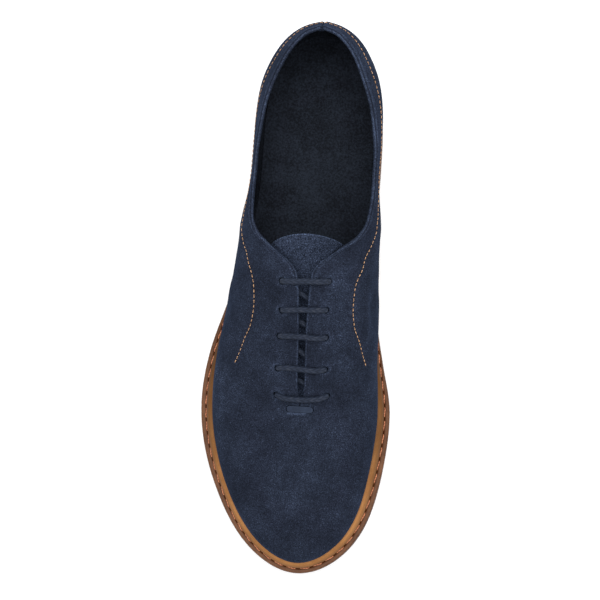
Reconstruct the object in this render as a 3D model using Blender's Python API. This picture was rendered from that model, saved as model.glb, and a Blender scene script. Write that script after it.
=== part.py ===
"""A suede lace-up shoe for the right foot, made as the separate pieces that a maker joins.

The toe points to -Y, the inner (medial) side to +X, and the sole stands on z = 0.
Sizes are millimetres and `world` turns them into metres. `along` runs from the back of the
sole to its toe, `out` from the lacing's centre line to the inner side, and `up` from the floor.
"""

import math

import bmesh
import bpy
import numpy as np
from mathutils import Vector
from mathutils.bvhtree import BVHTree

# ---- driving dimensions -------------------------------------------------------------------
GAP = 0.3  # clearance between neighbouring pieces
WALL_THICKNESS = 2.2  # suede and lining together
STATION_STEP = 8.0  # spacing of the sections round the shoe
WALL_ROWS = 12  # facets from the welt to the top edge

HEEL_END = (3.0, 0.0)  # along, out of the upper's base at the heel
TOE_END = (294.5, 1.5)  # the same at the toe

# Half widths of the upper's base, and the sole's rim outside it, section by section.
OUTLINE_COLUMNS = ("along", "medial", "lateral", "rim_medial", "rim_lateral")
OUTLINE = (
    (8.0, 13.8, 14.2, 3.0, 3.0),  # heel corner
    (22.0, 24.4, 25.2, 3.0, 3.0),  # heel side
    (45.0, 30.2, 31.2, 3.0, 3.0),  # heel seat
    (75.0, 31.2, 32.8, 3.0, 3.0),  # heel breast
    (105.0, 31.0, 33.8, 2.4, 3.0),  # waist
    (135.0, 32.1, 37.2, 1.9, 3.8),  # arch
    (160.0, 35.2, 42.8, 1.7, 5.6),  # instep
    (185.0, 37.3, 48.2, 4.4, 7.4),  # behind the ball
    (212.0, 39.5, 50.4, 7.5, 8.0),  # ball
    (237.0, 37.6, 46.4, 8.1, 8.1),  # joint of the toes
    (258.0, 33.8, 38.6, 7.9, 7.9),  # toe side
    (275.0, 27.6, 29.0, 7.7, 7.7),  # toe corner
    (287.0, 18.0, 17.6, 7.6, 7.6),  # toe front
)

# Heights of the sole's layers: under the forefoot the outsole lies flat, then springs up.
SOLE_COLUMNS = ("along", "tread", "outsole_top", "midsole_top")
SOLE = (
    (-5.0, 0.0, 11.0, 22.6),
    (45.0, 0.0, 11.0, 22.2),
    (88.0, 0.0, 10.6, 20.6),
    (125.0, 0.0, 8.2, 17.6),
    (160.0, 0.0, 5.4, 15.2),
    (195.0, 0.0, 4.6, 14.6),
    (235.0, 0.0, 4.6, 14.6),
    (268.0, 2.4, 7.0, 16.8),
    (304.0, 8.6, 13.0, 22.4),
)

# The top edge of the upper, toe to heel: first the crest of the forefoot, then the throat's
# edges, the mouth and the collar. `foot` is the share of the half outline walked from the toe,
# where the wall under that place stands; dip lowers the outer side under the ankle.
TOP_COLUMNS = ("foot", "along", "medial", "lateral", "up", "dip")
TOP = (
    (0.00, 262.0, 0.0, 0.0, 46.0, 0.0),  # toe
    (0.08, 256.0, 0.0, 0.0, 47.0, 0.0),  # toe corner
    (0.17, 245.0, 0.0, 0.0, 49.2, 0.0),  # toe side
    (0.26, 229.0, 0.0, 0.0, 53.2, 0.0),  # joint of the toes
    (0.34, 207.0, 0.0, 0.0, 60.4, 0.0),  # end of the throat
    (0.37, 199.0, 1.2, 1.4, 63.6, 0.0),  # before the last bar
    (0.45, 172.0, 1.7, 1.8, 75.4, 0.0),  # middle of the throat
    (0.53, 147.0, 2.8, 2.8, 86.0, 0.0),  # under the first bar
    (0.56, 139.5, 3.6, 5.0, 87.2, 0.2),  # throat's mouth
    (0.58, 133.7, 6.6, 8.4, 85.2, 0.5),  # turn of the facing
    (0.60, 128.4, 12.6, 14.6, 81.8, 1.0),  # facing's edge
    (0.63, 118.0, 24.6, 25.8, 74.8, 1.4),  # quarter's slope
    (0.66, 107.5, 30.8, 31.6, 67.6, 1.8),  # front of the collar
    (0.70, 94.0, 32.9, 33.2, 62.2, 2.0),  # collar
    (0.76, 75.0, 32.8, 33.2, 59.4, 2.6),  # ankle
    (0.84, 50.0, 29.6, 30.0, 61.0, 1.4),  # quarter
    (0.92, 24.0, 20.4, 20.4, 66.8, 0.4),  # heel side
    (0.96, 11.6, 10.8, 10.8, 70.2, 0.1),  # heel corner
    (1.00, 7.4, 0.0, 0.0, 71.6, 0.0),  # back of the heel
)
CREST_END = 0.53  # the top edge lies on the crest of the foot up to this share

# How the wall curves between sole and top edge: bulge and rise aim it as it leaves the sole,
# reach (a share of the span) and fall aim it as it comes to the top edge.
SHAPE_COLUMNS = ("foot", "bulge", "rise", "reach", "fall")
SHAPE = (
    (0.00, 5.4, 18.0, 0.56, 0.0),  # toe
    (0.17, 5.8, 20.0, 0.57, 0.0),  # toe side
    (0.34, 6.3, 25.0, 0.55, 0.2),  # end of the throat
    (0.45, 10.6, 29.0, 0.50, 1.0),  # middle of the throat
    (0.54, 14.6, 30.0, 0.46, 2.0),  # throat's mouth
    (0.60, 14.8, 27.0, 0.42, 5.6),  # facing's edge
    (0.68, 7.0, 19.0, 0.34, 12.0),  # front of the collar
    (0.84, 7.2, 18.0, 0.42, 15.0),  # quarter
    (1.00, 6.8, 20.0, 0.50, 20.0),  # back of the heel
)

# Sole details.
TREAD_EDGE = 1.4  # bevel round the outsole's bottom edge
OUTSOLE_EDGE = 0.5  # bevel round its top edge
MIDSOLE_FOOT = (0.8, 1.0)  # inset and height of the midsole's lower bevel
TOE_EDGE = 1.0  # how far the outsole shows past the midsole round the toe
TOE_EDGE_FROM = 232.0
HEEL_BREAST = 88.0  # front face of the heel
ARCH_TOP = 106.0  # where the arch starts to come down
ARCH_END = 160.0
ARCH_HEIGHT = 5.6
GROOVE_DEPTH = 1.8
GROOVE_WIDTH = 2.6
GROOVES = (24.0, 44.0, 64.0, 176.0, 190.0, 204.0, 218.0, 232.0, 246.0, 260.0)
CUT_HALF_WIDTH = 80.0  # reach of the cutting shapes past both sides
CUT_BELOW = 3.0  # and below the floor
LEDGE_SHARE = 0.30  # of the rim: the bare ledge outside the seam
SEAM_SHARE = 0.12  # of the rim: the sunken seam between ledge and welt
SEAM_DEPTH = 0.9
SEAM_SLOPE = 0.03  # share of the rim taken by each slope of the seam
LEDGE_EDGE = 0.9  # rounding of the ledge's outer edge
WELT_COLUMNS = ("along", "height")
WELT = ((0.0, 2.6), (150.0, 2.6), (205.0, 4.6), (300.0, 4.6))

INSOLE_THICKNESS = 3.0

# Tongue.
TONGUE_TOP = 119.0
TONGUE_TOP_RADIUS = 46.0  # of its top edge, seen from above
TONGUE_END = 224.0
TONGUE_TOP_HALF = 23.0
TONGUE_END_HALF = 15.0
TONGUE_THICKNESS = 2.4
TONGUE_SINK_COLUMNS = ("along", "depth")  # depth under the crest of the upper
TONGUE_SINK = ((100.0, 7.8), (194.0, 7.8), (218.0, 3.2), (230.0, 3.2))
TONGUE_RISE = 0.30  # slope of the free end
TONGUE_CORNER = 5.0  # how far the top corners are rounded back
TONGUE_BEND_RADIUS = 17.0  # of its cross-section

# Lacing.
LACE_RADIUS = 1.55
HOLE_RADIUS = 2.3
HOLE_CORNERS = 12
# Where each bar's holes are: along and out of the lateral one, then of the medial one.
BARS = (
    (143.6, -11.8, 142.2, 11.7),  # top holes
    (158.4, -11.3, 157.1, 11.1),
    (172.2, -12.1, 171.4, 11.4),
    (189.2, -12.6, 188.4, 11.5),
    (204.1, -12.6, 203.0, 13.1),  # toe-side holes
)
LACE_SIDES = 1  # bevel resolution of the cord
LACE_STEP = 2.5
LACE_OVER = 2.55  # height of the cord's middle over the facings
LACE_UNDER = -4.25  # the same under them
THROUGH = (-3.2, -1.1, 1.1)  # heights at which the cord passes a hole
ACROSS = (0.11, 0.20, 0.31)  # shares of a bar at which it lies on the facing
SLANT = (0.08, 0.3, 0.5, 0.7, 0.92)  # shares of the hidden run between two bars
RUN_OUT = -17.6  # the hidden return run under the lateral facing

# Bar at the end of the throat.
THROAT_BAR_AT = (211.0, -0.5)
THROAT_BAR_SIZE = (14.0, 3.5)
THROAT_BAR_PROUD = 0.5


# ---- curves and outlines --------------------------------------------------------------------
def column(table, columns, name):
    """One named column of a table, as an array."""
    return np.array([row[columns.index(name)] for row in table])


def hermite(at, knots, values, slopes):
    """Cubic pieces through the values with the given slopes at the knots."""
    at = np.clip(at, knots[0], knots[-1])
    piece = np.clip(np.searchsorted(knots, at, side="right") - 1, 0, len(knots) - 2)
    width = knots[piece + 1] - knots[piece]
    s = (at - knots[piece]) / width
    start = (1 + 2 * s) * (1 - s) ** 2 * values[piece] + s * (1 - s) ** 2 * width * slopes[piece]
    end = s * s * (3 - 2 * s) * values[piece + 1] - s * s * (1 - s) * width * slopes[piece + 1]
    return start + end


def even_curve(at, knots, values):
    """Cubic pieces that never swing past the values, so level stretches stay level."""
    width = np.diff(knots)
    rate = np.diff(values) / width
    slopes = np.concatenate([rate[:1], np.zeros(len(values) - 2), rate[-1:]])
    same_way = rate[:-1] * rate[1:] > 0
    before = (2 * width[1:] + width[:-1])[same_way]
    after = (width[1:] + 2 * width[:-1])[same_way]
    weighted = before / rate[:-1][same_way] + after / rate[1:][same_way]
    slopes[1:-1][same_way] = (before + after) / weighted
    return hermite(at, knots, values, slopes)


def fair_curve(at, knots, values, level_ends=False):
    """The spline of steady curvature through the values, level at its ends where asked."""
    width = np.diff(knots)
    rate = np.diff(values) / width
    count = len(values)
    matrix = np.zeros((count, count))
    right = np.zeros(count)
    for i in range(1, count - 1):
        matrix[i, i - 1 : i + 2] = (
            1 / width[i - 1],
            2 / width[i - 1] + 2 / width[i],
            1 / width[i],
        )
        right[i] = 3 * (rate[i - 1] / width[i - 1] + rate[i] / width[i])
    for end, inner, nearest in ((0, 1, rate[0]), (-1, -2, rate[-1])):
        matrix[end, end] = 1.0 if level_ends else 2.0
        matrix[end, inner] = 0.0 if level_ends else 1.0
        right[end] = 0.0 if level_ends else 3 * nearest
    return hermite(at, knots, values, np.linalg.solve(matrix, right))


def outline_halves():
    """Both halves of the upper's base as dense curves from toe to heel: points and normals."""
    along = column(OUTLINE, OUTLINE_COLUMNS, "along")
    medial = column(OUTLINE, OUTLINE_COLUMNS, "medial")
    lateral = column(OUTLINE, OUTLINE_COLUMNS, "lateral")
    inner = np.column_stack([along, medial])[::-1]
    outer = np.column_stack([along, -lateral])
    lap = np.vstack([[TOE_END], inner, [HEEL_END], outer])
    points = np.vstack([lap, lap, lap])
    walked = np.concatenate([[0], np.cumsum(np.linalg.norm(np.diff(points, axis=0), axis=1))])
    toe, heel, next_toe = (walked[len(lap)], walked[len(lap) + len(inner) + 1], walked[2 * len(lap)])
    halves = {}
    for side, start, end in (("medial", toe, heel), ("lateral", next_toe, heel)):
        at = np.linspace(start, end, 1200)
        curve = np.column_stack([fair_curve(at, walked, points[:, axis]) for axis in (0, 1)])
        tangent = np.gradient(curve, axis=0)
        turn = 1.0 if side == "medial" else -1.0
        normal = np.column_stack([-tangent[:, 1], tangent[:, 0]]) * -turn
        normal /= np.linalg.norm(normal, axis=1)[:, None]
        normal[[0, -1]] = ((1.0, 0.0), (-1.0, 0.0))
        halves[side] = (curve, normal)
    return halves


def by_share(samples, share):
    """Values sampled evenly along a half outline, read at shares of its length."""
    at = np.linspace(0, 1, len(samples))
    return np.column_stack([np.interp(share, at, samples[:, axis]) for axis in range(2)])


def station_shares():
    """Shares of the half outline at which sections stand, close enough for STATION_STEP."""
    foot = column(TOP, TOP_COLUMNS, "foot")
    half_length = np.linalg.norm(np.diff(HALVES["medial"][0], axis=0), axis=1).sum()
    places = np.column_stack([column(TOP, TOP_COLUMNS, name) for name in ("along", "medial", "up")])
    top_spans = np.linalg.norm(np.diff(places, axis=0), axis=1)
    spans = np.maximum(half_length * np.diff(foot), top_spans)
    shares = [foot[:1]]
    for start, end, span in zip(foot, foot[1:], spans):
        shares.append(np.linspace(start, end, max(1, round(span / STATION_STEP)) + 1)[1:])
    return np.concatenate(shares)


HALVES = outline_halves()
SHARES = station_shares()
SIDES = (("medial", 1.0), ("lateral", -1.0))


def sole_height(layer, along):
    """Height of one layer of the sole at a place along it."""
    knots = column(SOLE, SOLE_COLUMNS, "along")
    return even_curve(along, knots, column(SOLE, SOLE_COLUMNS, layer))


def rim_width(side, along):
    """How far the sole stands out past the upper's base."""
    knots = column(OUTLINE, OUTLINE_COLUMNS, "along")
    return even_curve(along, knots, column(OUTLINE, OUTLINE_COLUMNS, "rim_" + side))


# ---- the upper's surface --------------------------------------------------------------------
def wall(side, sign, shares, rows, throat_open=True):
    """Points of the upper's outer face, an array of stations by rows from sole to top edge.

    Each section is a cubic Bezier curve: it leaves the base outwards and up by bulge and rise,
    and comes to the top edge level with the crest over the forefoot, or steeply at the collar.
    """
    knots = column(TOP, TOP_COLUMNS, "foot")
    along = fair_curve(shares, knots, column(TOP, TOP_COLUMNS, "along"))
    up = fair_curve(shares, knots, column(TOP, TOP_COLUMNS, "up"))
    out = even_curve(shares, knots, column(TOP, TOP_COLUMNS, side))
    dip = even_curve(shares, knots, column(TOP, TOP_COLUMNS, "dip"))
    on_crest = shares <= CREST_END
    if not throat_open:
        out = np.where(on_crest, 0.0, out)
    slope = np.where(on_crest, np.gradient(up, along), 0.0)
    knots = column(SHAPE, SHAPE_COLUMNS, "foot")
    bulge, rise, reach, fall = (
        fair_curve(shares, knots, column(SHAPE, SHAPE_COLUMNS, name), level_ends=True)
        for name in SHAPE_COLUMNS[1:]
    )

    base = by_share(HALVES[side][0], shares)
    normal = by_share(HALVES[side][1], shares)
    level = sole_height("midsole_top", base[:, 0]) + GAP
    top = np.column_stack([along, sign * out])
    top_up = up - (dip if side == "lateral" else 0.0)
    lower = base + normal * bulge[:, None]
    upper = top + (lower - top) * reach[:, None]
    upper_up = top_up + slope * (upper[:, 0] - top[:, 0]) - fall

    corners = [
        np.column_stack([base, level]),
        np.column_stack([lower, level + rise]),
        np.column_stack([upper, upper_up]),
        np.column_stack([top, top_up]),
    ]
    v = np.asarray(rows)[None, :, None]
    weights = ((1 - v) ** 3, 3 * v * (1 - v) ** 2, 3 * v * v * (1 - v), v**3)
    return sum(weight * corner[:, None, :] for weight, corner in zip(weights, corners))


def wall_quads(stations, rows, offset, flip):
    """Faces of one half of the upper's grid, as rows of vertex numbers."""
    i, j = np.meshgrid(np.arange(stations - 1), np.arange(rows - 1), indexing="ij")
    a = (offset + i * rows + j).ravel()
    quads = np.column_stack([a, a + 1, a + rows + 1, a + rows])
    return quads[:, ::-1] if flip else quads


def wall_mesh(rows, throat_open=True):
    """Both halves of the upper's outer face: points and faces, toe seam not yet merged."""
    halves = [wall(side, sign, SHARES, rows, throat_open) for side, sign in SIDES]
    count = len(SHARES) * len(rows)
    points = np.vstack([half.reshape(-1, 3) for half in halves])
    faces = np.vstack(
        [
            wall_quads(len(SHARES), len(rows), 0, True),
            wall_quads(len(SHARES), len(rows), count, False),
        ]
    )
    return points, faces


# ---- Blender objects ------------------------------------------------------------------------
def world(points):
    """Points given as along, out, up in millimetres, in Blender's metres and axes."""
    points = np.atleast_2d(points)
    return np.column_stack([points[:, 1], -points[:, 0], points[:, 2]]) / 1000


def material(name, colour, roughness):
    """A plain Principled finish; the colour is given as it looks, and stored linear."""
    made = bpy.data.materials.new(name)
    made.use_nodes = True
    shader = made.node_tree.nodes["Principled BSDF"]
    linear = [((c + 0.055) / 1.055) ** 2.4 if c > 0.04045 else c / 12.92 for c in colour]
    shader.inputs["Base Color"].default_value = (*linear, 1.0)
    shader.inputs["Roughness"].default_value = roughness
    shader.inputs["Metallic"].default_value = 0.0
    return made


def piece(name, points, faces, finish=None):
    """A mesh object under the shoe's empty, its doubles merged and its faces turned out."""
    mesh = bpy.data.meshes.new(name)
    mesh.from_pydata(world(points).tolist(), [], [list(map(int, face)) for face in faces])
    work = bmesh.new()
    work.from_mesh(mesh)
    bmesh.ops.remove_doubles(work, verts=work.verts, dist=1e-6)
    bmesh.ops.dissolve_degenerate(work, edges=work.edges, dist=1e-6)
    bmesh.ops.recalc_face_normals(work, faces=work.faces)
    work.to_mesh(mesh)
    work.free()
    mesh.shade_smooth()
    mesh.set_sharp_from_angle(angle=math.radians(40))
    made = bpy.data.objects.new(name, mesh)
    bpy.context.collection.objects.link(made)
    if finish:
        mesh.materials.append(finish)
        made.parent = SHOE
    return made


def cutter(name, points, faces):
    """A closed shape that only cuts."""
    made = piece(name, points, faces)
    made.parent = SHOE
    made.hide_render = True
    made.display_type = "WIRE"
    return made


def cut(target, tool):
    """Take the tool's shape away from the target."""
    modifier = target.modifiers.new(tool.name, "BOOLEAN")
    modifier.operation = "DIFFERENCE"
    modifier.solver = "EXACT"
    modifier.object = tool


def ring_faces(rings, around):
    """Faces between stacked rings of the same number of points."""
    i, j = np.meshgrid(np.arange(rings - 1), np.arange(around), indexing="ij")
    a = (i * around + j).ravel()
    b = (i * around + (j + 1) % around).ravel()
    return np.column_stack([a, b, b + around, a + around])


def strip_faces(start, half):
    """Faces that close a ring made of two halves facing each other, rung by rung."""
    i = np.arange(half - 1)
    return np.column_stack([start + i, start + i + 1, start + half + i + 1, start + half + i])


def closed_stack(rings):
    """A solid from rings laid one on another; each ring holds its medial half, then its lateral."""
    half = len(rings[0]) // 2
    points = np.vstack(rings)
    order = np.concatenate([np.arange(half), half + np.arange(half)[::-1]])
    faces = order[ring_faces(len(rings), 2 * half) % (2 * half)]
    level = ring_faces(len(rings), 2 * half) // (2 * half) * (2 * half)
    caps = [strip_faces(0, half), strip_faces((len(rings) - 1) * 2 * half, half)]
    return points, np.vstack([faces + level, *caps])


def prisms(outlines, half_width):
    """Blocks that run across the shoe, from outlines drawn in along and up."""
    points = []
    faces = []
    for outline in outlines:
        start = sum(len(block) for block in points)
        count = len(outline)
        sides = [[(a, out, up) for a, up in outline] for out in (-half_width, half_width)]
        points.append(np.array(sides[0] + sides[1]))
        faces += (ring_faces(2, count) + start).tolist()
        faces += [list(range(start, start + count))]
        faces += [list(range(start + count, start + 2 * count))[::-1]]
    return np.vstack(points), faces


# ---- sole -----------------------------------------------------------------------------------
def sole_ring(inset, layer, lift, toe_edge=0.0, rim_share=1.0):
    """One level of a sole layer: its outline inside the rim, at a height off a named layer."""
    halves = []
    for side, sign in SIDES:
        base = by_share(HALVES[side][0], SHARES)
        normal = by_share(HALVES[side][1], SHARES)
        out = rim_width(side, base[:, 0]) * rim_share - inset
        past_ball = np.clip((base[:, 0] - TOE_EDGE_FROM) / (TOE_END[0] - TOE_EDGE_FROM), 0, 1)
        out = out + toe_edge * past_ball
        plan = base + normal * out[:, None]
        halves.append(np.column_stack([plan, sole_height(layer, plan[:, 0]) + lift]))
    return np.vstack(halves)


def make_outsole(finish):
    """Rubber outsole: flat forefoot and heel, sprung toe, cut arch, and grooves for the bend."""
    rings = [
        sole_ring(TREAD_EDGE, "tread", 0.0, TOE_EDGE),
        sole_ring(0.0, "tread", TREAD_EDGE, TOE_EDGE),
        sole_ring(0.0, "outsole_top", -OUTSOLE_EDGE, TOE_EDGE),
        sole_ring(OUTSOLE_EDGE, "outsole_top", 0.0, TOE_EDGE),
    ]
    outsole = piece("outsole", *closed_stack(rings), finish)
    arch = [(HEEL_BREAST, -CUT_BELOW), (HEEL_BREAST + 1.0, ARCH_HEIGHT)]
    for share in np.linspace(0, 1, 7):
        along = ARCH_TOP + (ARCH_END - ARCH_TOP) * share
        height = ARCH_HEIGHT * math.cos(math.pi / 2 * share)
        arch.append((along, height if share < 1 else -0.01))
    arch.append((ARCH_TOP, -CUT_BELOW))
    cut(outsole, cutter("arch_cut", *prisms([arch], CUT_HALF_WIDTH)))
    grooves = []
    for along in GROOVES:
        floor = float(sole_height("tread", np.array([along]))[0])
        low, high = along - GROOVE_WIDTH / 2, along + GROOVE_WIDTH / 2
        bottom, top = floor - CUT_BELOW, floor + GROOVE_DEPTH
        grooves.append([(low, bottom), (low, top), (high, top), (high, bottom)])
    cut(outsole, cutter("groove_cut", *prisms(grooves, CUT_HALF_WIDTH)))
    return outsole


def make_midsole(finish):
    """Body between outsole and welt, with the bare ledge and the sunken seam round its edge."""
    seam_out = 1 - LEDGE_SHARE
    seam_in = seam_out - SEAM_SHARE
    rings = [
        sole_ring(MIDSOLE_FOOT[0], "outsole_top", GAP),
        sole_ring(0.0, "outsole_top", GAP + MIDSOLE_FOOT[1]),
        sole_ring(0.0, "midsole_top", -LEDGE_EDGE),
        sole_ring(0.5 * LEDGE_EDGE, "midsole_top", -0.15 * LEDGE_EDGE),
        sole_ring(0.0, "midsole_top", 0.0, rim_share=seam_out),
        sole_ring(0.0, "midsole_top", -SEAM_DEPTH, rim_share=seam_out - SEAM_SLOPE),
        sole_ring(0.0, "midsole_top", -SEAM_DEPTH, rim_share=seam_in + SEAM_SLOPE),
        sole_ring(0.0, "midsole_top", 0.0, rim_share=seam_in),
    ]
    return piece("midsole", *closed_stack(rings), finish)


def table_curve(table, columns, along):
    """The second column of a table as an even curve over its first."""
    knots, values = (column(table, columns, name) for name in columns)
    return even_curve(along, knots, values)


def make_welt(finish):
    """Rounded band that closes the joint under the upper: full round the forefoot, low behind."""
    rows = np.linspace(0, 0.4, 25)
    halves = []
    for side, sign in SIDES:
        base = by_share(HALVES[side][0], SHARES)
        normal = np.column_stack([by_share(HALVES[side][1], SHARES), np.zeros(len(SHARES))])
        face = wall(side, sign, SHARES, rows)
        height = table_curve(WELT, WELT_COLUMNS, base[:, 0])
        low = face[:, 0] + normal * GAP
        high = np.array([
            [np.interp(rise, points[:, 2] - points[0, 2], points[:, axis]) for axis in range(3)]
            for rise, points in zip(height, face)
        ]) + normal * GAP
        edge = rim_width(side, base[:, 0]) * (1 - LEDGE_SHARE - SEAM_SHARE) - 0.1
        outer = np.column_stack([base, low[:, 2]]) + normal * edge[:, None]
        outer[:, 2] = sole_height("midsole_top", outer[:, 0]) + GAP
        up = np.array([0.0, 0.0, 1.0])
        crown = high * 0.6 + (outer + up * height[:, None]) * 0.4 + up * 0.1
        shoulder = high * 0.15 + outer * 0.85 + up * (height * 0.62)[:, None]
        halves.append(np.stack([outer, shoulder, crown, high, low], axis=1))
    loop = np.concatenate([halves[0], halves[1][-2:0:-1]])
    faces = ring_faces(len(loop), loop.shape[1])
    last = (len(loop) - 1) * loop.shape[1]
    around = loop.shape[1]
    closing = [[last + k, last + (k + 1) % around, (k + 1) % around, k] for k in range(around)]
    return piece("welt", loop.reshape(-1, 3), np.vstack([faces, closing]), finish)


def make_insole(finish):
    """Sock of the footbed, just inside the upper's wall."""
    inset = WALL_THICKNESS + 2 * GAP
    rings = [
        sole_ring(inset, "midsole_top", GAP, rim_share=0.0),
        sole_ring(inset, "midsole_top", GAP + INSOLE_THICKNESS, rim_share=0.0),
    ]
    return piece("insole", *closed_stack(rings), finish)


# ---- upper ----------------------------------------------------------------------------------
class Instep:
    """The upper's outer face with the throat closed, to place the holes, cord and bar on it."""

    def __init__(self):
        points, faces = wall_mesh(np.linspace(0, 1, 2 * WALL_ROWS), throat_open=False)
        self.tree = BVHTree.FromPolygons(points.tolist(), faces.tolist())

    def at(self, along, out, lift=0.0):
        """The place on the face under (along, out), moved off it along its normal."""
        place, normal, _, _ = self.tree.ray_cast(Vector((along, out, 200.0)), Vector((0, 0, -1)))
        if normal.z < 0:
            normal.negate()
        return place + normal * lift

    def normal(self, along, out):
        return (self.at(along, out, 1.0) - self.at(along, out)).normalized()


def hole_cutters(instep):
    """Ten pins through the facings, square to the leather."""
    points = []
    faces = []
    for bar in BARS:
        for along, out in (bar[:2], bar[2:]):
            centre = instep.at(along, out)
            axis = instep.normal(along, out)
            across = axis.cross(Vector((1.0, 0.0, 0.0))).normalized()
            ahead = axis.cross(across)
            start = len(points)
            for end in (-6.0, 4.0):
                for k in range(HOLE_CORNERS):
                    turn = 2 * math.pi * k / HOLE_CORNERS
                    spoke = across * math.cos(turn) + ahead * math.sin(turn)
                    points.append(centre + axis * end + spoke * HOLE_RADIUS)
            faces += (ring_faces(2, HOLE_CORNERS) + start).tolist()
            faces += [list(range(start, start + HOLE_CORNERS))]
            faces += [list(range(start + HOLE_CORNERS, start + 2 * HOLE_CORNERS))[::-1]]
    return cutter("lace_holes", np.array(points), faces)


def stadium(length, width):
    """A slot's outline as two facing halves: the toe-side edge, then the heel-side edge."""
    turns = np.linspace(0, math.pi, 9)
    radius = width / 2
    straight = length / 2 - radius
    out = np.where(turns < math.pi / 2, straight, -straight) + radius * np.cos(turns)
    out[4] = 0.0
    ahead = radius * np.sin(turns)
    return np.column_stack([np.concatenate([ahead, -ahead]), np.concatenate([out, out])])


def slot_rings(instep, length, width, levels):
    """Rings of a slot-shaped solid that follows the vamp, each at (lift, inset)."""
    rings = []
    for lift, inset in levels:
        outline = stadium(length - 2 * inset, width - 2 * inset)
        rings.append(np.array([
            instep.at(THROAT_BAR_AT[0] + ahead, THROAT_BAR_AT[1] + out) + Vector((0, 0, lift))
            for ahead, out in outline
        ]))
    return rings


def make_upper(instep, finish):
    """The whole-cut suede shell: open at the collar, down the throat and underneath."""
    points, faces = wall_mesh(np.linspace(0, 1, WALL_ROWS + 1))
    upper = piece("upper", points, faces, finish)
    shell = upper.modifiers.new("wall", "SOLIDIFY")
    shell.thickness = WALL_THICKNESS / 1000
    shell.offset = -1.0
    shell.use_even_offset = True
    shell.use_rim = True
    length, width = THROAT_BAR_SIZE
    slot = slot_rings(instep, length + 2 * GAP, width + 2 * GAP, ((-8.0, 0.0), (6.0, 0.0)))
    cut(upper, cutter("throat_slot", *closed_stack(slot)))
    cut(upper, hole_cutters(instep))
    return upper


def make_throat_bar(instep, finish):
    """Smooth bar that sits in its slot at the end of the throat."""
    length, width = THROAT_BAR_SIZE
    levels = ((-WALL_THICKNESS - 0.3, 0.0), (THROAT_BAR_PROUD - 0.5, 0.0), (THROAT_BAR_PROUD, 0.5))
    return piece("throat_bar", *closed_stack(slot_rings(instep, length, width, levels)), finish)


def crest_height(along):
    """Height of the upper's crest over the forefoot and lacing."""
    rows = [row for row in TOP if row[0] <= CREST_END][::-1]
    return fair_curve(along, column(rows, TOP_COLUMNS, "along"), column(rows, TOP_COLUMNS, "up"))


def make_tongue(finish):
    """Suede tongue under the facings, its round top edge standing clear of the collar."""
    down, across = np.meshgrid(np.linspace(0, 1, 15), np.linspace(-1, 1, 13), indexing="ij")
    half = TONGUE_TOP_HALF + (TONGUE_END_HALF - TONGUE_TOP_HALF) * down**1.5
    out = across * half
    edge = TONGUE_TOP + out**2 / (2 * TONGUE_TOP_RADIUS) + TONGUE_CORNER * across**8
    along = edge + (TONGUE_END - edge) * down
    bend_from = BARS[0][0]
    under_lacing = crest_height(np.maximum(along, bend_from))
    sink = table_curve(TONGUE_SINK, TONGUE_SINK_COLUMNS, along)
    crest = under_lacing - sink + TONGUE_RISE * np.maximum(bend_from - along, 0)
    up = crest - out**2 / (2 * TONGUE_BEND_RADIUS)
    points = np.column_stack([along.ravel(), out.ravel(), up.ravel()])
    faces = wall_quads(15, 13, 0, False)
    tongue = piece("tongue", points, faces, finish)
    sheet = tongue.modifiers.new("thickness", "SOLIDIFY")
    sheet.thickness = TONGUE_THICKNESS / 1000
    sheet.offset = -1.0
    sheet.use_even_offset = True
    return tongue


# ---- lacing ---------------------------------------------------------------------------------
def lace_route(instep):
    """Points of the cord: up the hidden run, then bar by bar from the toe to the top.

    Each bar rises through its lateral hole, lies across the facings, drops through its medial
    hole, and slants back under the facings to the next lateral hole.
    """
    bars = BARS[::-1]
    run_start, run_end = BARS[0][0] + 3, bars[0][0] - 8
    route = [instep.at(along, RUN_OUT, LACE_UNDER) for along in np.linspace(run_start, run_end, 4)]
    route.append(instep.at(bars[0][0] - 2.2, bars[0][1] - 1.4, LACE_UNDER))
    for number, bar in enumerate(bars):
        ends = (np.array(bar[:2]), np.array(bar[2:]))
        for first, (end, other) in enumerate((ends, ends[::-1])):
            axis = instep.normal(*end)
            hole = instep.at(*end)
            through = [hole + axis * depth for depth in THROUGH]
            facing = [instep.at(*(end + (other - end) * share), LACE_OVER) for share in ACROSS]
            steps = through + facing
            route += steps[::-1] if first else steps
        if number < len(bars) - 1:
            next_hole = np.array(bars[number + 1][:2])
            for share in SLANT:
                route.append(instep.at(*(ends[1] + (next_hole - ends[1]) * share), LACE_UNDER))
    route.append(instep.at(BARS[0][2] - 2.5, BARS[0][3] + 2.0, LACE_UNDER))
    return route


def smooth_path(route, step):
    """A fair curve through the route's points, read off at even steps."""
    route = np.array(route)
    walked = np.concatenate([[0], np.cumsum(np.linalg.norm(np.diff(route, axis=0), axis=1))])
    at = np.linspace(0, walked[-1], int(walked[-1] / step) + 1)
    return np.column_stack([even_curve(at, walked, route[:, axis]) for axis in range(3)])


def make_lace(instep, finish):
    """One round cord: five bars over the facings and their crossings under them."""
    path = world(smooth_path(lace_route(instep), LACE_STEP))
    curve = bpy.data.curves.new("lace", "CURVE")
    curve.dimensions = "3D"
    curve.bevel_depth = LACE_RADIUS / 1000
    curve.bevel_resolution = LACE_SIDES
    curve.use_fill_caps = True
    spline = curve.splines.new("POLY")
    spline.points.add(len(path) - 1)
    for point, place in zip(spline.points, path):
        point.co = (*place, 1.0)
    curve.materials.append(finish)
    lace = bpy.data.objects.new("lace", curve)
    bpy.context.collection.objects.link(lace)
    lace.parent = SHOE
    return lace


# ---- the shoe -------------------------------------------------------------------------------
for old in list(bpy.data.objects):
    bpy.data.objects.remove(old, do_unlink=True)

SHOE = bpy.data.objects.new("shoe", None)
bpy.context.collection.objects.link(SHOE)

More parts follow.
